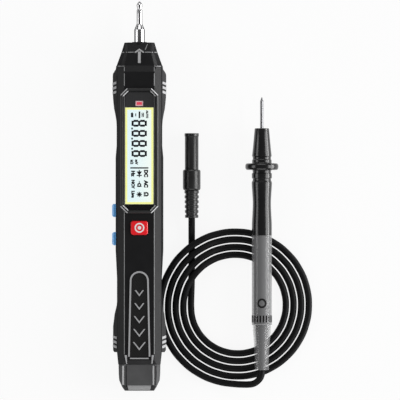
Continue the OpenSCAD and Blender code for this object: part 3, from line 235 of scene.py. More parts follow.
def lay_marks(name, shapes, nodes, material, lift, skin, cuts=5, split=False):
    """Drops flat outlines in mm straight down on some CAD nodes, and thickens them to thin marks."""
    under = bmesh.new()
    for node in nodes:
        under.from_mesh(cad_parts[node].data)
    surface = BVHTree.FromBMesh(under)
    under.free()
    bm = bmesh.new()
    for shape in shapes:
        bm.faces.new([bm.verts.new((x, y, 0)) for x, y in shape])
    if split:
        bmesh.ops.triangulate(bm, faces=bm.faces)
    scale_mm(bm)
    bmesh.ops.subdivide_edges(bm, edges=bm.edges, cuts=cuts, use_grid_fill=True)
    above, down = 0.1, Vector((0, 0, -1))
    for v in bm.verts:
        hit = surface.ray_cast(Vector((v.co.x, v.co.y, above)), down)[0]
        if hit is None:
            raise RuntimeError("a mark lies beside the surface that carries it")
        v.co.z = hit.z + lift
    for face in bm.faces:
        face.normal_update()
        if face.normal.z < 0:
            face.normal_flip()
    piece = add_object(name, plain_mesh(bm, name), HOUSING, material)
    coat = piece.modifiers.new("Skin", "SOLIDIFY")
    coat.thickness, coat.offset = skin, -1.0


def rounded_copy(node, body, material, width, least=2.0, segments=2):
    """Stands for a CAD node, with its outer edges longer than least (in mm) rounded."""
    bm = bmesh.new()
    bm.from_mesh(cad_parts[node].data)
    bmesh.ops.remove_doubles(bm, verts=bm.verts, dist=20 * WELD)
    bmesh.ops.dissolve_limit(
        bm, angle_limit=FLAT, verts=bm.verts, edges=bm.edges, use_dissolve_boundaries=False)
    sharp = [
        e for e in bm.edges
        if len(e.link_faces) == 2 and e.calc_face_angle(0) > SHARP
        and e.is_convex and e.calc_length() > least * MM]
    bmesh.ops.bevel(
        bm, geom=sharp, offset=width, offset_type="OFFSET", segments=segments, profile=0.5,
        affect="EDGES", clamp_overlap=True, material=-1)
    name = node + "_rounded"
    piece = add_object(name, plain_mesh(bm, name), body, material)
    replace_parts(piece, node)


# ---------------------------------------------------------------- materials
def node_of(tree, kind):
    return next(n for n in tree.nodes if n.type == kind)


def feed(tree, inputs, values):
    """Sets each named input to a number, a colour or the output of another node."""
    for key, value in values.items():
        if isinstance(value, bpy.types.NodeSocket):
            tree.links.new(value, inputs[key])
        else:
            inputs[key].default_value = value


def add_node(tree, kind, values=None, output=0, **settings):
    """Adds a shader node with its settings and inputs, and gives one of its outputs."""
    node = tree.nodes.new("ShaderNode" + kind)
    for key, value in settings.items():
        setattr(node, key, value)
    feed(tree, node.inputs, values or {})
    return node.outputs[output]


def maths(tree, operation, *terms, clamp=False):
    return add_node(tree, "Math", dict(enumerate(terms)), operation=operation, use_clamp=clamp)


def place_in(tree):
    """The place on the piece, in metres."""
    return add_node(tree, "TexCoord", output="Object")


def parts_of(tree, vector):
    """The X, Y and Z of a vector."""
    node = tree.nodes.new("ShaderNodeSeparateXYZ")
    tree.links.new(vector, node.inputs[0])
    return node.outputs


def ramp_of(tree, share, stops):
    """A colour ramp over a share, from (place, colour) stops in rising order."""
    node = tree.nodes.new("ShaderNodeValToRGB")
    tree.links.new(share, node.inputs["Fac"])
    elements = node.color_ramp.elements
    for element, (place, tone) in zip(elements, (stops[0], stops[-1])):
        element.position, element.color = place, (*tone, 1)
    for place, tone in stops[1:-1]:
        elements.new(place).color = (*tone, 1)
    return node.outputs["Color"]


def new_group(name, inputs, outputs):
    """An empty shader group, its inputs given with their values and its outputs with their kinds."""
    tree = bpy.data.node_groups.new(name, "ShaderNodeTree")
    for key, value in inputs.items():
        kind = "Color" if isinstance(value, tuple) else "Float"
        made = tree.interface.new_socket(name=key, in_out="INPUT", socket_type="NodeSocket" + kind)
        made.default_value = value
    for key, kind in outputs.items():
        tree.interface.new_socket(name=key, in_out="OUTPUT", socket_type="NodeSocket" + kind)
    return tree, tree.nodes.new("NodeGroupInput").outputs, tree.nodes.new("NodeGroupOutput").inputs


def use_group(tree, group, values):
    """Puts a shared group into a material, and gives its outputs."""
    node = tree.nodes.new("ShaderNodeGroup")
    node.node_tree = group
    feed(tree, node.inputs, values)
    return node.outputs


def moulded_grain():
    """Shared group: fine moulded grain for a bump, with faint mottling in tone and roughness."""
    known = bpy.data.node_groups.get("Moulded grain")
    if known:
        return known
    tree, given, out = new_group(
        "Moulded grain",
        {"Grain size": 5200.0, "Colour": (0.02, 0.02, 0.02, 1), "Mottle": 0.12, "Roughness": 0.5},
        {"Tone": "Color", "Rough": "Float", "Height": "Float"})
    place = place_in(tree)
    grain = add_node(tree, "TexNoise", {
        "Vector": place, "Scale": given["Grain size"], "Detail": 3.0, "Roughness": 0.6})
    cloud = add_node(tree, "TexNoise", {"Vector": place, "Scale": 160.0, "Detail": 4.0})
    swing = maths(tree, "MULTIPLY", maths(tree, "SUBTRACT", cloud, 0.5), given["Mottle"])
    gain = maths(tree, "MULTIPLY_ADD", swing, 2.0, 1.0)
    feed(tree, out, {
        "Tone": add_node(tree, "VectorMath", {0: given["Colour"], "Scale": gain}, operation="SCALE"),
        "Rough": maths(tree, "ADD", given["Roughness"], swing, clamp=True),
        "Height": grain})
    return tree


def turning_marks():
    """Shared group: fine rings that a lathe leaves round a piece that lies along the pen."""
    known = bpy.data.node_groups.get("Turning marks")
    if known:
        return known
    tree, given, out = new_group(
        "Turning marks", {"Ring density": 3000.0, "Roughness": 0.2}, {"Rough": "Float", "Height": "Float"})
    rings = add_node(tree, "TexNoise", {
        "W": parts_of(tree, place_in(tree))["Y"], "Scale": given["Ring density"], "Detail": 2.0},
        noise_dimensions="1D")
    rough = maths(tree, "MULTIPLY_ADD", rings, 0.14, given["Roughness"])
    feed(tree, out, {"Rough": rough, "Height": rings})
    return tree


def blank_material(name):
    material = bpy.data.materials.new(name)
    material.use_nodes = True
    return material, material.node_tree, node_of(material.node_tree, "BSDF_PRINCIPLED")


def bump_from(tree, shader, height, depth):
    bump = add_node(tree, "Bump", {"Strength": 1.0, "Distance": depth, "Height": height}, "Normal")
    tree.links.new(bump, shader.inputs["Normal"])


def made_once(build):
    """A material is built at its first use and then found by its name."""
    def find(name, *values, **settings):
        return bpy.data.materials.get(name) or build(name, *values, **settings)
    return find


@made_once
def moulded(name, tone, rough, gloss=0.35, grain=5200.0, depth=0.000012, mottle=0.16, coat=0.0, dull=False):
    """Moulded plastic or rubber with grain, mottling and bump; dull where it is seen at a slant, if asked."""
    material, tree, shader = blank_material(name)
    group = use_group(tree, moulded_grain(), {
        "Grain size": grain, "Colour": (*tone, 1), "Mottle": mottle, "Roughness": rough})
    roughness = group["Rough"]
    if dull:
        slant = add_node(tree, "LayerWeight", output="Facing")
        spread = add_node(tree, "MapRange", {"Value": slant, "From Min": 0.36, "From Max": 0.58})
        roughness = maths(tree, "MAXIMUM", spread, roughness)
    feed(tree, shader.inputs, {
        "Base Color": group["Tone"], "Roughness": roughness, "Specular IOR Level": gloss,
        "Coat Weight": coat, "Coat Roughness": 0.18})
    bump_from(tree, shader, group["Height"], depth)
    return material


@made_once
def turned_metal(name, tone, rough, density=3000.0, edge=(1, 1, 1)):
    """Turned metal with fine rings; edge is the colour that it mirrors at a slant."""
    depth = 0.000004
    material, tree, shader = blank_material(name)
    group = use_group(tree, turning_marks(), {"Ring density": density, "Roughness": rough})
    feed(tree, shader.inputs, {
        "Base Color": (*tone, 1), "Metallic": 1.0, "Specular Tint": (*edge, 1), "Roughness": group["Rough"]})
    bump_from(tree, shader, group["Height"], depth)
    return material


@made_once
def clear_plastic(name, tone, alpha, rough):
    """Clear or milky plastic, thin enough to see through without bending the view."""
    material, tree, shader = blank_material(name)
    haze = add_node(tree, "TexNoise", {"Vector": place_in(tree), "Scale": 90.0})
    feed(tree, shader.inputs, {
        "Base Color": (*tone, 1), "Alpha": alpha, "Specular IOR Level": 0.5,
        "Roughness": add_node(tree, "MapRange", {
            "Value": haze, "To Min": max(0.0, rough - 0.02), "To Max": rough + 0.03})})
    return material


def faint_glow(material, tone):
    """Lets a little light come through a coloured lens."""
    strength = 0.25
    feed(material.node_tree, node_of(material.node_tree, "BSDF_PRINCIPLED").inputs, {
        "Emission Color": (*tone, 1), "Emission Strength": strength})
    return material


def finishes():
    return bpy.context.scene.tester_finish


def housing_black():
    return moulded(
        "Housing black", finishes().housing, rough=0.40, gloss=0.18, grain=4200.0, depth=0.000010, dull=True)


def trim_grey():
    return moulded(
        "Trim grey", finishes().trim, rough=0.38, gloss=0.5, grain=6500.0, depth=0.000006, mottle=0.08)


# Painted highlight: pale grey for the thin lines that stand for light on edges
def edge_highlight():
    return moulded("Painted edge highlight", (0.27, 0.27, 0.275), rough=0.45, gloss=0.4, mottle=0.4)


def brass():
    return turned_metal("Turned brass", (0.72, 0.50, 0.20), rough=0.22)


def steel():
    """Polished steel with a painted reflection: its colour darkens face-on and at its round edges, for the
    dark of the room mirrored there.
    """
    tone = tuple(finishes().steel)
    material = turned_metal("Steel with painted reflections", tone, rough=0.12, edge=(0.12, 0.12, 0.125))
    tree = material.node_tree
    slant = add_node(tree, "LayerWeight", output="Facing")
    feed(tree, node_of(tree, "BSDF_PRINCIPLED").inputs, {"Base Color": ramp_of(tree, slant, [
        (0.0, (0.30, 0.30, 0.31)), (0.04, tone), (0.33, tone), (0.55, (0.04, 0.04, 0.042))])})
    return material


def paint(material, *nodes):
    """Gives CAD nodes that stay a better material."""
    for node in nodes:
        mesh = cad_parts[node].data
        mesh.materials.clear()
        mesh.materials.append(material)


# ---------------------------------------------------------------- pieces
class TESTER_OT_camera(bpy.types.Operator):
    """Puts the camera straight above the tester, as the photograph shows it"""
    bl_idname = "tester.camera"
    bl_label = "Camera"

    def execute(self, context):
        s = context.scene.tester_camera
        lens = bpy.data.cameras.new("Camera")
        lens.lens, lens.sensor_width = s.lens, SENSOR
        lens.clip_end = 20.0
        camera = bpy.data.objects.new("Camera", lens)
        context.scene.collection.objects.link(camera)
        camera.location = (s.centre_x, s.centre_y, s.plane + s.width * s.lens / SENSOR)
        context.scene.camera = camera
        return {"FINISHED"}


class TESTER_OT_cord(bpy.types.Operator):
    """Lays the cord: a straight run, flat turns that rise over it, and a short tail up to the probe"""
    bl_idname = "tester.cord"
    bl_label = "Cord"

    def execute(self, context):
        s = context.scene.tester_cord
        radius, plug_x = s.diameter / 2, PLUG[0] * MM
        # Lengths along the cord, in metres: the flat top and each slope of a hump, then the climb to the
        # probe and the part of it that comes after the coil
        top, slope, climb, beyond = 0.006, 0.016, 0.034, 0.0191
        # Share of a turn by which the coil crosses the straight run before the turn is full
        early = 0.11

        def coil_r(t):
            return s.start_radius + s.pitch * t

        crossings = [
            k - math.acos((s.centre_x - plug_x) / coil_r(k - early)) / (2 * math.pi) for k in (1, 2, 3, 4)]

        def bump(d):
            if d < top:
                return 1.0
            return (1 + math.cos(math.pi * (d - top) / slope)) / 2 if d < top + slope else 0.0

        def place(t):
            turn = 2 * math.pi * coil_r(t)
            hump = s.hump * max(bump(abs(t - crossing) * turn) for crossing in crossings)
            left = max(0.0, climb - beyond - (s.turns - t) * turn)
            rise = (PROBE[1] * MM - radius) * (1 - math.cos(math.pi * left / climb)) / 2
            a = 2 * math.pi * t
            return Vector((s.centre_x - coil_r(t) * math.cos(a), s.centre_y - coil_r(t) * math.sin(a),
                           radius + max(hump, rise)))

        coil = [place(i / s.steps) for i in range(int(s.turns * s.steps) + 1)]
        nudge = 1 / s.steps / 8
        start = coil[0] + s.diameter * (coil[0] - place(nudge)).normalized()
        end = coil[-1] + s.diameter * (coil[-1] - place(s.turns - nudge)).normalized()
        # Points in mm from where the cord leaves the plug, and up to where it enters the probe
        run = [(0, 0, 0), (0, -2.4, 0), (0, -4.4, -0.3), (0, -6.4, -1.1), (0, -8.4, -2.1),
               (0, -10.4, -2.9), (0, -12.4, -3.4), (0, -20, -3.4), (0, -28, -3.4), (-0.1, -36, -3.4)]
        tail = [(-7.2, -8, -2.1), (-4.5, -7.5, -1.3), (-2.1, -5.9, -0.6), (-0.5, -3.5, -0.2),
                (0, -0.8, 0), (0, 0, 0)]
        route = [Vector((plug_x + x * MM, (y + PLUG_END) * MM, max(radius, (PLUG[1] + z) * MM)))
                 for x, y, z in run]
        route += [start] + coil + [end]
        route += [Vector((PROBE[0] + x, y + PROBE_END, PROBE[1] + z)) * MM for x, y, z in tail]
        curve = bpy.data.curves.new("cord", "CURVE")
        curve.dimensions, curve.bevel_depth, curve.bevel_resolution = "3D", radius, 5
        curve.resolution_u, curve.use_fill_caps = 5, True
        spline = curve.splines.new("BEZIER")
        spline.bezier_points.add(len(route) - 1)
        for point, at in zip(spline.bezier_points, route):
            point.co = at
            point.handle_left_type = point.handle_right_type = "AUTO"
        curve.materials.append(moulded(
            "Cord black", finishes().cord, rough=0.5, gloss=0.12, grain=2600.0, depth=0.000010,
            mottle=0.2, dull=True))
        piece = bpy.data.objects.new("cord", curve)
        context.scene.collection.objects.link(piece)
        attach(piece, HOUSING)
        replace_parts(piece, "lead_run", "lead_coil", "lead_tail")
        return {"FINISHED"}


class TESTER_OT_housing(bpy.types.Operator):
    """Rounds the long edges of the two shells and of the battery door, and gives them their black"""
    bl_idname = "tester.housing"
    bl_label = "Housing"

    def execute(self, context):
        black, width = housing_black(), finishes().rounding
        rounded_copy("front_shell", HOUSING, black, width)
        rounded_copy("rear_shell", HOUSING, black, width)
        rounded_copy("battery_door", "battery_door", black, 0.6 * width)
        # Painted highlight: pale slivers where the front face ends at the heel, for the light on its facets
        slivers = both_sides([[(8.1, -87.3), (6.8, -87.3), (6.75, -92.2), (7.15, -92.2)]])
        lay_marks("heel_highlight_slivers", slivers, ["front_shell"], trim_grey(),
                  lift=0.00008, skin=0.0001, cuts=6)
        # Painted highlight: pale lines where the front face meets its bevels, for the light on those edges
        lines = both_sides([oblong(8.02, 70.6, 8.4, 60.4), oblong(8.02, 57.0, 8.4, -86.8)])
        lay_marks("edge_highlight_lines", lines, ["front_shell"], edge_highlight(),
                  lift=0.00006, skin=0.0001, cuts=4)
        paint(turned_metal("Plated screws", (0.6, 0.6, 0.61), rough=0.3), "housing_screws")
        return {"FINISHED"}


class TESTER_OT_nose(bpy.types.Operator):
    """Finishes the nose cap and lays the raised arrow mark on it"""
    bl_idname = "tester.nose"
    bl_label = "Nose cap"

    def execute(self, context):
        rounded_copy("nose_cap", HOUSING, housing_black(), 0.00022, least=1.5)
        # Painted highlight: one bright line beside the tip, and a pale line across the cap and the shell on
        # either side
        lines = [[(3.0, 80.2), (3.4, 80.2), (4.6, 83.4), (4.2, 83.4)]] + both_sides([
            [(3.1, 78.65), (9.5, 78.65), (9.4, 79.05), (3.1, 79.05)], oblong(8.1, 71.0, 11.9, 71.35)])
        lay_marks("nose_highlight_lines", lines, ["nose_cap", "front_shell"], edge_highlight(),
                  lift=0.00006, skin=0.0001)
        half = [(2.75, 78.9), (2.1, 78.5), (0.75, 79.4), (0, 79.9)]
        head = [(-x, y) for x, y in reversed(half)] + [(0, 80.9)] + half
        arrow = moulded("Arrow grey", (0.42, 0.42, 0.425), rough=0.4, gloss=0.5, mottle=0.25)
        lay_marks("nose_arrow", [head, oblong(-0.75, 72.9, 0.75, 79.2)], ["nose_cap"], arrow,
                  lift=0.00012, skin=0.00018, cuts=7, split=True)
        return {"FINISHED"}


class TESTER_OT_tip(bpy.types.Operator):
    """Polishes the steel tip and the metal pieces that reach it"""
    bl_idname = "tester.tip"
    bl_label = "Steel tip"

    def execute(self, context):
        profile = [
            (0, 66.5), (1.5, 66.5), (1.5, 78.1), (3.7, 78.1), (3.7, 79.1), (2.85, 79.1), (2.85, 91.3),
            (2.75, 91.6), (2.3, 92.7), (1.75, 94.0), (1.52, 94.6), (1.5, 95.2), (1.5, 102.0), (1.2, 102.5),
            (1.1, 103.0), (1.25, 103.6), (1.6, 104.5), (1.45, 105.3), (0.8, 106.4), (0.18, 106.95),
            (0, 107.0)]
        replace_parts(turned("steel_tip", profile, TIP, steel(), smooth=40), "tester_tip")
        paint(brass(), "tip_contact")
        paint(turned_metal("Rolled copper", (0.62, 0.33, 0.16), rough=0.28), "sensing_antenna")
        return {"FINISHED"}


class TESTER_OT_bezel(bpy.types.Operator):
    """Finishes the bezel, with a painted highlight on its corner bevels, and its clear window"""
    bl_idname = "tester.bezel"
    bl_label = "Bezel and window"

    def execute(self, context):
        bezel = moulded("Bezel black with painted highlight", finishes().bezel, rough=0.34, gloss=0.4, depth=0.000006, mottle=0.1)
        # Painted highlight: the bevels that run round the four corners are made pale by their slant, for the
        # light they catch
        tree = bezel.node_tree
        inputs = node_of(tree, "BSDF_PRINCIPLED").inputs
        x, y, z = parts_of(tree, add_node(tree, "TexCoord", output="Normal"))
        lean = maths(tree, "MULTIPLY", maths(tree, "ABSOLUTE", maths(tree, "MULTIPLY", x, y)), z)
        feed(tree, inputs, {"Base Color": add_node(tree, "Mix", {
            "Factor": add_node(tree, "MapRange", {"Value": lean, "From Min": 0.10, "From Max": 0.14}),
            "A": inputs["Base Color"].links[0].from_socket, "B": (0.62, 0.62, 0.63, 1)},
            "Result", data_type="RGBA")})
        paint(bezel, "display_bezel")
        # Printed mask under the window, open over the display and the lamp
        half, level, thick = 7.75, 20.04, 0.1
        bm = bmesh.new()
        bars(bm, [(-half, 48.5, half, 49.2), (-half, 49.2, -2.1, 52.1), (2.1, 49.2, half, 52.1),
                  (-half, 52.1, half, 54.6)], level, thick)
        flat_shape(bm, [(-half, 54.6), (half, 54.6), (5.6, 56.8), (-5.6, 56.8)], level, thick)
        grey = moulded("Mask grey", (0.032, 0.032, 0.033), rough=0.5, gloss=0.3, mottle=0.1)
        solid(bm, "window_mask", HOUSING, grey)
        paint(clear_plastic("Clear window", (0.05, 0.05, 0.055), alpha=0.10, rough=0.04), "display_window")
        return {"FINISHED"}


class TESTER_OT_display(bpy.types.Operator):
    """Lights the display and draws its digits, icons and labels"""
    bl_idname = "tester.display"
    bl_label = "Display"

    def lit(self, name, build, glow):
        """A material that shines in the colours that build makes."""
        material, tree, shader = blank_material(name)
        colours = build(tree)
        feed(tree, shader.inputs, {
            "Base Color": add_node(tree, "VectorMath", {0: colours, "Scale": 0.15}, operation="SCALE"),
            "Roughness": 0.35, "Specular IOR Level": 0.2,
            "Emission Color": colours, "Emission Strength": glow})
        return material

    def backdrop(self, tree):
        """Pale blue on the left to pale green on the right, with a soft cloud in it."""
        place = place_in(tree)
        across = add_node(tree, "MapRange", {
            "Value": parts_of(tree, place)["X"], "From Min": -0.0075, "From Max": 0.0075})
        cloud = add_node(tree, "TexNoise", {"Vector": place, "Scale": 130.0})
        share = maths(tree, "MULTIPLY_ADD", cloud, 0.25, across)
        return ramp_of(tree, share, [(0.0, (0.73, 0.93, 1.0)), (1.0, (0.90, 0.99, 0.94))])

    def yellow(self, tree):
        cloud = add_node(tree, "TexNoise", {"Vector": place_in(tree), "Scale": 200.0})
        return ramp_of(tree, cloud, [(0.0, (0.93, 0.93, 0.28)), (1.0, (0.98, 1.0, 0.44))])

    def digit(self, bm, y, z, s):
        """One figure of seven bars, its foot towards the left of the pen."""
        h, w, t = s.digit_height / MM, s.digit_width / MM, s.stroke / MM
        foot, overlap, reach = -h / 2 - 0.05, 0.03, 0.4 * t
        middle = foot + h / 2
        bars(bm, [(x, y - reach, x + t, y - w + reach)
                  for x in (foot, middle - t / 2, foot + h - t)], z, INK)
        bars(bm, [(x0 - overlap, y0, x1 + overlap, y0 - t)
                  for x0, x1 in ((foot + t, middle - t / 2), (middle + t / 2, foot + h - t))
                  for y0 in (y, y - w + t)], z, INK)

    def execute(self, context):
        s = context.scene.tester_display
        lo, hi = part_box("lcd_panel")
        lo, hi = lo / MM, hi / MM
        paint(self.lit("Lit display", self.backdrop, s.glow), "lcd_panel")
        top, rim = hi.z, s.rim / MM
        bm = bmesh.new()
        bars(bm, [(lo.x, lo.y, lo.x + rim, hi.y), (hi.x - rim, lo.y, hi.x, hi.y),
                  (lo.x + rim, lo.y, hi.x - rim, lo.y + rim),
                  (lo.x + rim, hi.y - rim, hi.x - rim, hi.y)], top, INK)
        solid(bm, "display_rim", HOUSING, self.lit("Yellow rim", self.yellow, s.glow))
        # Characters, with the tip of the pen to their left; digits and decimal points first
        z, first, pitch = top + 0.005, 41.7, s.digit_pitch / MM
        bm = bmesh.new()
        for i in range(4):
            self.digit(bm, first - i * pitch, z, s)
        points = [first - i * pitch + 0.75 for i in range(1, 4)]
        bars(bm, [(-4.4, y + 0.5, -3.5, y - 0.5) for y in points], z, INK)
        bars(bm, [
            # Icon row: a cell, a wave, a bold bar and a pair of bars
            (-4.6, 45.4, -3.3, 43.1), (-4.2, 45.8, -3.7, 45.4), (-2.2, 45.2, -1.7, 43.6),
            (-0.35, 46.3, 0.55, 42.6), (1.3, 45.6, 1.75, 43.2), (2.1, 45.6, 2.55, 43.2),
            (1.3, 44.6, 2.55, 44.2),
            # Line between the reading and the labels
            (-4.95, 15.7, 5.0, 14.95),
            # Diode: a bar across a line
            (-1.4, 11.5, 1.4, 10.9), (-0.28, 14.2, 0.28, 13.4), (-0.28, 10.9, 0.28, 10.2),
            # Buzzer: the stem and the foot of a bell
            (-0.22, 8.2, 0.22, 6.9), (-1.3, 5.35, 1.3, 4.95)], z, INK)
        flat_shape(bm, [(-1.5, 13.4), (1.5, 13.4), (0, 11.1)], z, INK)
        ring_plate(bm, 0, 5.95, 1.15, 0.42, z, INK, steps=20)
        # Star: a lamp with eight rays
        centre = Vector((0, 0.8))
        ring_plate(bm, *centre, 0.85, 0, z, INK, steps=16)
        for k in range(8):
            a = math.radians(45 * k)
            out, side = Vector((math.cos(a), math.sin(a))), Vector((-math.sin(a), math.cos(a))) * 0.26
            near, far = centre + out * 0.55, centre + out * 1.5
            flat_shape(bm, [near - side, far - side, far + side, near + side], z, INK)
        for text, size, x, y in [
            ("AUTO", 1.5, 4.25, 44.7), ("Hz", 2.6, -3.5, 12.3), ("NCV", 2.2, -3.5, 6.5),
            ("Live", 2.3, -3.5, 0.9), ("DC", 2.7, 3.6, 12.3), ("AC", 2.7, 3.6, 6.5),
            ("Ω", 3.0, 3.6, 0.9), ("kΩ", 1.9, -4.2, 18.6), ("mV", 1.9, -1.6, 18.6),
        ]:
            mesh = words(text, size, x, y, z, INK)
            bm.from_mesh(mesh)
            bpy.data.meshes.remove(mesh)
        scale_mm(bm)
        ink = moulded("Display ink", s.ink, rough=0.6, gloss=0.1, mottle=0.05)
        add_object("display_characters", plain_mesh(bm, "display_characters"), HOUSING, ink)
        return {"FINISHED"}


class TESTER_OT_indicator(bpy.types.Operator):
    """Finishes the red indicator lens with its paler rim"""
    bl_idname = "tester.indicator"
    bl_label = "Indicator"

    def execute(self, context):
        pale, deep = (1.0, 0.64, 0.68), (1.0, 0.085, 0.14)
        rim = faint_glow(moulded("Lens rim", pale, rough=0.3, gloss=0.5, mottle=0.05), pale)
        paint(rim, "indicator_lens")
        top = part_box("indicator_lens")[1].z / MM
        bm = bmesh.new()
        bars(bm, [(-1.45, 49.9, 1.45, 51.4)], top, 0.06)
        red = faint_glow(moulded("Lens red", deep, rough=0.25, gloss=0.5, mottle=0.05), deep)
        solid(bm, "lens_centre", HOUSING, red)
        paint(moulded("Lamp milk", (0.85, 0.85, 0.78), rough=0.4, gloss=0.4), "indicator_led")
        return {"FINISHED"}


class TESTER_OT_buttons(bpy.types.Operator):
    """Finishes the select button with its ring mark, and the two side buttons"""
    bl_idname = "tester.buttons"
    bl_label = "Buttons"

    def execute(self, context):
        red = moulded("Button red", finishes().button, rough=0.33, gloss=0.45, mottle=0.06, coat=0.15)
        rounded_copy("select_button", "select_button", red, 0.0004, least=0.5, segments=3)
        lo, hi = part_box("select_button")
        # Ring and dot, a little off the middle of the key and sunk into its top
        aside, sunk, height = 0.1, 0.02, 0.07
        y, z = (lo.y + hi.y) / 2 / MM + aside, hi.z / MM - sunk
        bm = bmesh.new()
        for outer, inner in ((2.68, 1.95), (1.0, 0)):
            ring_plate(bm, aside, y, outer, inner, z, height)
        white = moulded("Mark white", (0.86, 0.86, 0.86), rough=0.4, gloss=0.4, mottle=0.03)
        solid(bm, "select_ring", "select_button", white)
        blue = moulded("Key blue", finishes().key, rough=0.2, gloss=0.8, mottle=0.06, coat=1.0)
        for node in ("upper_side_button", "lower_side_button"):
            rounded_copy(node, node, blue, 0.0009, least=0.5, segments=5)
        return {"FINISHED"}


class TESTER_OT_grips(bpy.types.Operator):
    """Finishes the four side grips and their pale slashes"""
    bl_idname = "tester.grips"
    bl_label = "Side grips"

    def execute(self, context):
        rubber = moulded(
            "Grip rubber", finishes().grip, rough=0.5, gloss=0.16, grain=3000.0, depth=0.00002, dull=True)
        for side in ("left", "right"):
            for level in ("upper", "lower"):
                rounded_copy(level + "_" + side + "_grip", HOUSING, rubber, 0.0002, least=0.8)
        paint(trim_grey(), "grip_slashes")
        return {"FINISHED"}


class TESTER_OT_panel(bpy.types.Operator):
    """Finishes the arched grip panel, its trim and its chevrons"""
    bl_idname = "tester.panel"
    bl_label = "Grip panel"

    def execute(self, context):
        material, tree, shader = blank_material("Panel rubber")
        # Faint chevron texture: waves of the place along the pen less the distance from its middle
        x, y, _ = parts_of(tree, place_in(tree))
        lean, step = -1.25, 0.0018
        slant = maths(tree, "MULTIPLY_ADD", maths(tree, "ABSOLUTE", x), lean, y)
        ripple = maths(tree, "SINE", maths(tree, "MULTIPLY", slant, 2 * math.pi / step))
        shade = add_node(tree, "MapRange", {
            "Value": ripple, "From Min": -1.0, "To Min": 0.004, "To Max": 0.008})
        feed(tree, shader.inputs, {"Base Color": shade, "Roughness": 0.55, "Specular IOR Level": 0.3})
        bump_from(tree, shader, ripple, 0.00003)
        paint(material, "grip_panel")
        paint(trim_grey(), "grip_trim", "grip_chevrons")
        return {"FINISHED"}


class TESTER_OT_tail(bpy.types.Operator):
    """Finishes the tail block with painted light on its end slope and rails, painted shade beside its rails,
    and the jack inside it
    """
    bl_idname = "tester.tail"
    bl_label = "Tail block"

    def execute(self, context):
        grey = moulded(
            "Tail grey", finishes().tail, rough=0.42, gloss=0.14, grain=4200.0, depth=0.000010, dull=True)
        rounded_copy("tail_block", HOUSING, grey, 0.0002, least=1.5)
        light = moulded("Rail painted highlight", (0.56, 0.56, 0.565), rough=0.4, gloss=0.4, mottle=0.1)
        slope = moulded("Slope painted light", (0.30, 0.30, 0.305), rough=0.4, gloss=0.4, mottle=0.1)
        # Painted light and shade: each rail gets a painted highlight line and, to its right, a painted shade
        # band for its groove, and each groove a painted shade corner; the end slope gets a painted light
        for name, shapes, material, slot in (
            ("rail_highlight_lines", [oblong(-9.4, -93.2, -8.5, -103.6), oblong(7.3, -93.2, 8.2, -103.6)],
             light, "trim_silver"),
            ("rail_shade_bands", [oblong(-8.45, -93.1, -7.0, -104.0),
                            [(8.25, -93.1), (9.7, -93.1), (9.3, -103.9), (8.25, -103.9)],
                            [(-9.2, -104.1), (-6.6, -104.1), (-6.0, -106.8), (-7.7, -106.8)],
                            [(6.6, -104.1), (9.2, -104.1), (7.7, -106.8), (6.0, -106.8)]],
             housing_black(), "body_black"),
            # Painted light: pale grey on the end slope for the light that falls on it from beyond the tail
            ("end_slope_light", [[(-6.5, -104.0), (6.5, -104.0), (5.9, -106.6), (-5.9, -106.6)]],
             slope, "trim_silver"),
        ):
            lay_marks(name, shapes, ["tail_block"], material, lift=0.00009, skin=0.00012)
        paint(brass(), "jack_sleeve")
        paint(moulded("Wire red", (0.4, 0.02, 0.02), rough=0.5), "jack_wire")
        return {"FINISHED"}


class TESTER_OT_plug(bpy.types.Operator):
    """Turns the plug: its shroud with a rim, its pin, its grip and its ribbed relief"""
    bl_idname = "tester.plug"
    bl_label = "Plug"

    def execute(self, context):
        black = moulded("Plug black", (0.009, 0.009, 0.0095), rough=0.33, gloss=0.8, grain=3600.0,
                        depth=0.000006, mottle=0.2)
        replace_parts(turned("plug_shell", [
            (3.1, 16.1), (3.1, 34.4), (3.2, 34.5), (3.85, 34.5), (3.95, 34.35), (3.95, 33.0), (3.88, 32.8),
            (3.75, 32.6), (3.75, 14.5), (0.5, 14.5), (0.5, 16.1), (3.1, 16.1)],
            PLUG, black, smooth=35), "plug_shroud")
        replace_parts(turned("plug_body", [
            (0, 14.5), (3.9, 14.5), (4.45, 14.35), (4.75, 13.95), (4.87, 13.4), (4.87, 4.6), (4.78, 3.9),
            (4.5, 3.35), (4.0, 3.05), (3.6, 3.0), (0, 3.0)],
            PLUG, black, smooth=35), "plug_grip")
        # Ribs that taper a little towards the cord; each takes a share of the pitch, and the last one ends
        # where the cord leaves
        ribs, share, start = 6, 0.62, 3.0
        pitch = (start - PLUG_END) / (ribs - 1 + share)
        profile = [(0, start)]
        for i in range(ribs):
            r, y, end = 4.0 - 0.06 * i, start - i * pitch, start - (i + share) * pitch
            profile += [(r - 0.5, y), (r - 0.12, y - 0.06), (r, y - 0.3), (r, end + 0.3),
                        (r - 0.12, end + 0.06), (r - 0.5, end)]
        profile += [(0, PLUG_END)]
        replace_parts(turned("plug_ribs", profile, PLUG, black, smooth=35), "plug_relief")
        paint(brass(), "plug_pin")
        return {"FINISHED"}


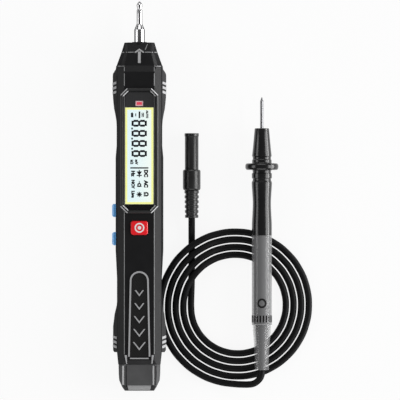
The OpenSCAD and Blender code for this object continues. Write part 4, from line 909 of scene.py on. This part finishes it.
class TESTER_OT_probe(bpy.types.Operator):
    """Turns the probe: needle, black front handle with its guard, grey rear handle and milky relief"""
    bl_idname = "tester.probe"
    bl_label = "Probe"

    def execute(self, context):
        needle = turned_metal("Needle steel", (0.30, 0.30, 0.31), rough=0.22, edge=(0.15, 0.15, 0.155))
        paint(needle, "probe_needle")
        black = moulded("Lead black", (0.006, 0.006, 0.0065), rough=0.22, gloss=0.55, grain=3600.0,
                        depth=0.000004, coat=0.12)
        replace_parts(turned("front_handle", [
            (0.95, 37.2), (3.6, 37.2), (3.85, 37.1), (3.97, 36.85), (5.0, 25.5), (5.3, 23.0), (5.4, 21.9),
            (5.28, 21.7), (5.05, 21.4), (5.02, 20.6), (5.1, 20.0), (5.35, 19.75), (5.4, 19.3), (5.4, 18.3),
            (5.6, 18.0), (7.9, 17.95), (8.6, 17.75), (9.0, 17.2), (9.13, 16.5), (9.13, 15.7), (9.0, 15.0),
            (8.6, 14.45), (7.9, 14.25), (5.6, 14.2), (5.1, 13.9), (5.04, 13.0), (5.08, 12.6), (5.5, 12.35),
            (5.54, 11.9), (5.54, 10.2), (5.46, 9.8), (5.1, 9.5), (5.04, 9.0), (5.1, 8.4), (5.5, 7.7),
            (5.6, 7.0), (5.5, 5.0), (5.3, 2.0), (5.08, -1.5), (5.0, -3.4), (5.03, -6.0), (5.2, -10.0),
            (5.42, -13.5), (5.5, -15.6), (5.5, -21.7), (0, -21.7), (0, 13.1), (1.8, 13.1), (1.8, 27.1),
            (0.95, 27.1), (0.95, 37.2)], PROBE, black, steps=96), "probe_front_handle")
        inner = moulded("Handle core", (0.06, 0.06, 0.061), rough=0.4, gloss=0.4)
        profile = [(0, -21.9), (4.3, -21.9), (4.3, -70.6), (0, -70.6)]
        turned("handle_core", profile, PROBE, inner)
        grey = clear_plastic("Handle grey", finishes().handle, alpha=0.55, rough=0.16)
        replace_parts(turned("rear_handle", [
            (0, -21.7), (5.4, -21.7), (5.5, -21.9), (5.5, -65.4), (5.54, -65.5), (5.54, -69.8), (5.5, -69.9),
            (5.5, -70.8), (5.35, -71.0), (0, -71.0)],
            PROBE, grey, steps=96), "probe_rear_handle")
        # Painted shade: dark strips round the band at the end of the rear handle, for the shade in its slots
        slots, out, middle = 20, 5.46, Matrix.Translation((PROBE[0], -67.65, PROBE[1]))
        bm = bmesh.new()
        for k in range(slots):
            turn = Matrix.Rotation(2 * math.pi * (k + 0.5) / slots, 4, "Y")
            bmesh.ops.create_cube(bm, size=1.0, matrix=middle @ turn @ Matrix.Translation((out, 0, 0))
                                  @ Matrix.Diagonal((0.24, 3.8, 0.8, 1)))
        dark = moulded("Slot painted shade", (0.006, 0.006, 0.006), rough=0.85, gloss=0.1)
        solid(bm, "handle_slots", HOUSING, dark)
        core = moulded("Relief core", (0.02, 0.02, 0.021), rough=0.4, gloss=0.4)
        turned("relief_core", [
            (0, -71.0), (3.4, -71.0), (3.3, -74.0), (2.6, -86.0), (2.1, -92.0), (1.9, PROBE_END),
            (0, PROBE_END)], PROBE, core)
        milky = clear_plastic("Milky sleeve", (0.34, 0.34, 0.345), alpha=0.30, rough=0.12)
        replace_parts(turned("relief_sleeve", [
            (4.2, -71.0), (5.0, -71.0), (5.03, -71.6), (5.03, -72.6), (4.85, -72.9), (4.85, -73.6),
            (4.97, -73.9), (4.8, -75.6), (4.55, -78.0), (4.4, -80.4), (4.15, -84.0), (3.95, -88.0),
            (3.83, -91.2), (3.7, -91.6), (3.7, -92.3), (3.9, -92.7), (3.9, -95.3), (3.75, PROBE_END),
            (2.0, PROBE_END), (2.3, -92.0), (3.1, -91.0), (3.5, -82.0), (4.2, -73.0), (4.2, -71.0)],
            PROBE, milky), "probe_relief")
        paint(moulded("Mark black", (0.008, 0.008, 0.008), rough=0.7, gloss=0.15), "probe_ring_mark")
        paint(brass(), "probe_ferrule")
        return {"FINISHED"}


class TESTER_OT_inside(bpy.types.Operator):
    """Gives the cells, the board and the other inner pieces their materials"""
    bl_idname = "tester.inside"
    bl_label = "Inner pieces"

    def execute(self, context):
        plated = turned_metal("Plated strip", (0.62, 0.62, 0.64), rough=0.26)
        paint(plated, "battery_contacts", "battery_springs")
        chip = moulded("Chip black", (0.02, 0.02, 0.021), rough=0.5, gloss=0.4, grain=7000.0)
        paint(chip, "board_chips", "select_switch", "side_switches", "buzzer")
        jacket = turned_metal("Cell jacket", (0.58, 0.58, 0.57), rough=0.3, density=1200.0)
        paint(jacket, "left_battery", "right_battery")
        board = moulded("Board green", (0.02, 0.13, 0.05), rough=0.35, gloss=0.5, grain=2000.0)
        paint(board, "circuit_board")
        paint(moulded("Disc blue", (0.05, 0.15, 0.4), rough=0.35, gloss=0.5), "input_thermistor")
        paint(moulded("Milky guide", (0.85, 0.85, 0.78), rough=0.3), "lcd_backlight")
        paint(moulded("Strip grey", (0.25, 0.25, 0.26), rough=0.6), "lcd_contact_strip")
        return {"FINISHED"}


class TESTER_OT_declare(bpy.types.Operator):
    bl_idname = "tester.declare_cord"
    bl_label = "Declare the cord"

    def execute(self, context):
        return {"FINISHED"}


class TESTER_OT_stage(bpy.types.Operator):
    """Builds the pale floor, the world and the soft lights"""
    bl_idname = "tester.stage"
    bl_label = "Stage"

    def lamp(self, scene, name, power, size, place):
        light = bpy.data.lights.new(name, "AREA")
        light.shape, light.size, light.size_y = "RECTANGLE", size[0], size[1]
        light.energy = power
        lamp = bpy.data.objects.new(name, light)
        scene.collection.objects.link(lamp)
        lamp.location = place
        aim = Vector((0.0, 0.0, 0.01))
        lamp.rotation_euler = (aim - Vector(place)).to_track_quat("-Z", "Y").to_euler()
        lamp.visible_camera = False

    def floor(self, scene):
        """A wide floor just under the tester, which the camera and clear reflections see evenly white."""
        half, sunk = 6.0, 0.0001
        bm = bmesh.new()
        bmesh.ops.create_grid(bm, x_segments=1, y_segments=1, size=half)
        bmesh.ops.translate(bm, vec=(0.03, 0, -sunk), verts=bm.verts)
        floor = bpy.data.objects.new("floor", plain_mesh(bm, "floor"))
        scene.collection.objects.link(floor)
        material, tree, shader = blank_material("Pale floor")
        feed(tree, shader.inputs, {
            "Base Color": (0.90, 0.90, 0.90, 1), "Roughness": 0.9, "Specular IOR Level": 0.0})
        path = tree.nodes.new("ShaderNodeLightPath").outputs
        through = maths(tree, "MAXIMUM", path["Is Glossy Ray"], path["Is Transmission Ray"])
        seen = maths(tree, "MAXIMUM", path["Is Camera Ray"], through)
        mix = add_node(tree, "MixShader", {
            "Fac": maths(tree, "MULTIPLY", seen, 0.9), 1: shader.outputs["BSDF"],
            2: add_node(tree, "Emission")})
        tree.links.new(mix, node_of(tree, "OUTPUT_MATERIAL").inputs["Surface"])
        floor.data.materials.append(material)

    def execute(self, context):
        scene, s = context.scene, context.scene.tester_stage
        self.floor(scene)
        world = scene.world or bpy.data.worlds.new("World")
        scene.world = world
        world.use_nodes = True
        feed(world.node_tree, node_of(world.node_tree, "BACKGROUND").inputs, {
            "Color": (1, 1, 1, 1), "Strength": s.sky})
        wide, low = (1.4, 0.6), (1.8, 0.3)
        self.lamp(scene, "Left light", s.left, wide, (-1.25, 0.0, 0.72))
        self.lamp(scene, "Right light", s.right, wide, (1.25, 0.0, 0.72))
        self.lamp(scene, "Low light", s.low, low, (1.35, 0.0, 0.16))
        self.lamp(scene, "Tail light", s.tail, wide, (0.0, -1.3, 0.75))
        self.lamp(scene, "Tip light", s.tip, wide, (0.0, 1.3, 0.9))
        scene.view_settings.view_transform = "Standard"
        return {"FINISHED"}


OPERATORS = (
    TESTER_OT_camera, TESTER_OT_cord, TESTER_OT_housing, TESTER_OT_nose, TESTER_OT_tip, TESTER_OT_bezel,
    TESTER_OT_display, TESTER_OT_indicator, TESTER_OT_buttons, TESTER_OT_grips, TESTER_OT_panel,
    TESTER_OT_tail, TESTER_OT_plug, TESTER_OT_probe, TESTER_OT_inside, TESTER_OT_declare, TESTER_OT_stage,
)
SETTINGS = (
    ("tester_camera", CameraSettings), ("tester_cord", CordSettings), ("tester_finish", FinishSettings),
    ("tester_display", DisplaySettings), ("tester_stage", StageSettings),
)


class TESTER_PT_pieces(bpy.types.Panel):
    bl_label = "Voltage tester"
    bl_space_type = "VIEW_3D"
    bl_region_type = "UI"
    bl_category = "Tester"

    def draw(self, context):
        for operator in OPERATORS:
            self.layout.operator(operator.bl_idname)
        for name, group in SETTINGS:
            box = self.layout.box()
            for key in group.__annotations__:
                box.prop(getattr(context.scene, name), key)


def register():
    for name, group in SETTINGS:
        bpy.utils.register_class(group)
        setattr(bpy.types.Scene, name, PointerProperty(type=group))
    for operator in OPERATORS:
        bpy.utils.register_class(operator)
    bpy.utils.register_class(TESTER_PT_pieces)


def unregister():
    bpy.utils.unregister_class(TESTER_PT_pieces)
    for operator in reversed(OPERATORS):
        bpy.utils.unregister_class(operator)
    for name, group in reversed(SETTINGS):
        delattr(bpy.types.Scene, name)
        bpy.utils.unregister_class(group)


def main():
    register()
    for operator in OPERATORS:
        family, name = operator.bl_idname.split(".")
        if getattr(getattr(bpy.ops, family), name)() != {"FINISHED"}:
            raise RuntimeError(operator.bl_label + " did not finish")


if __name__ == "__main__":
    main()
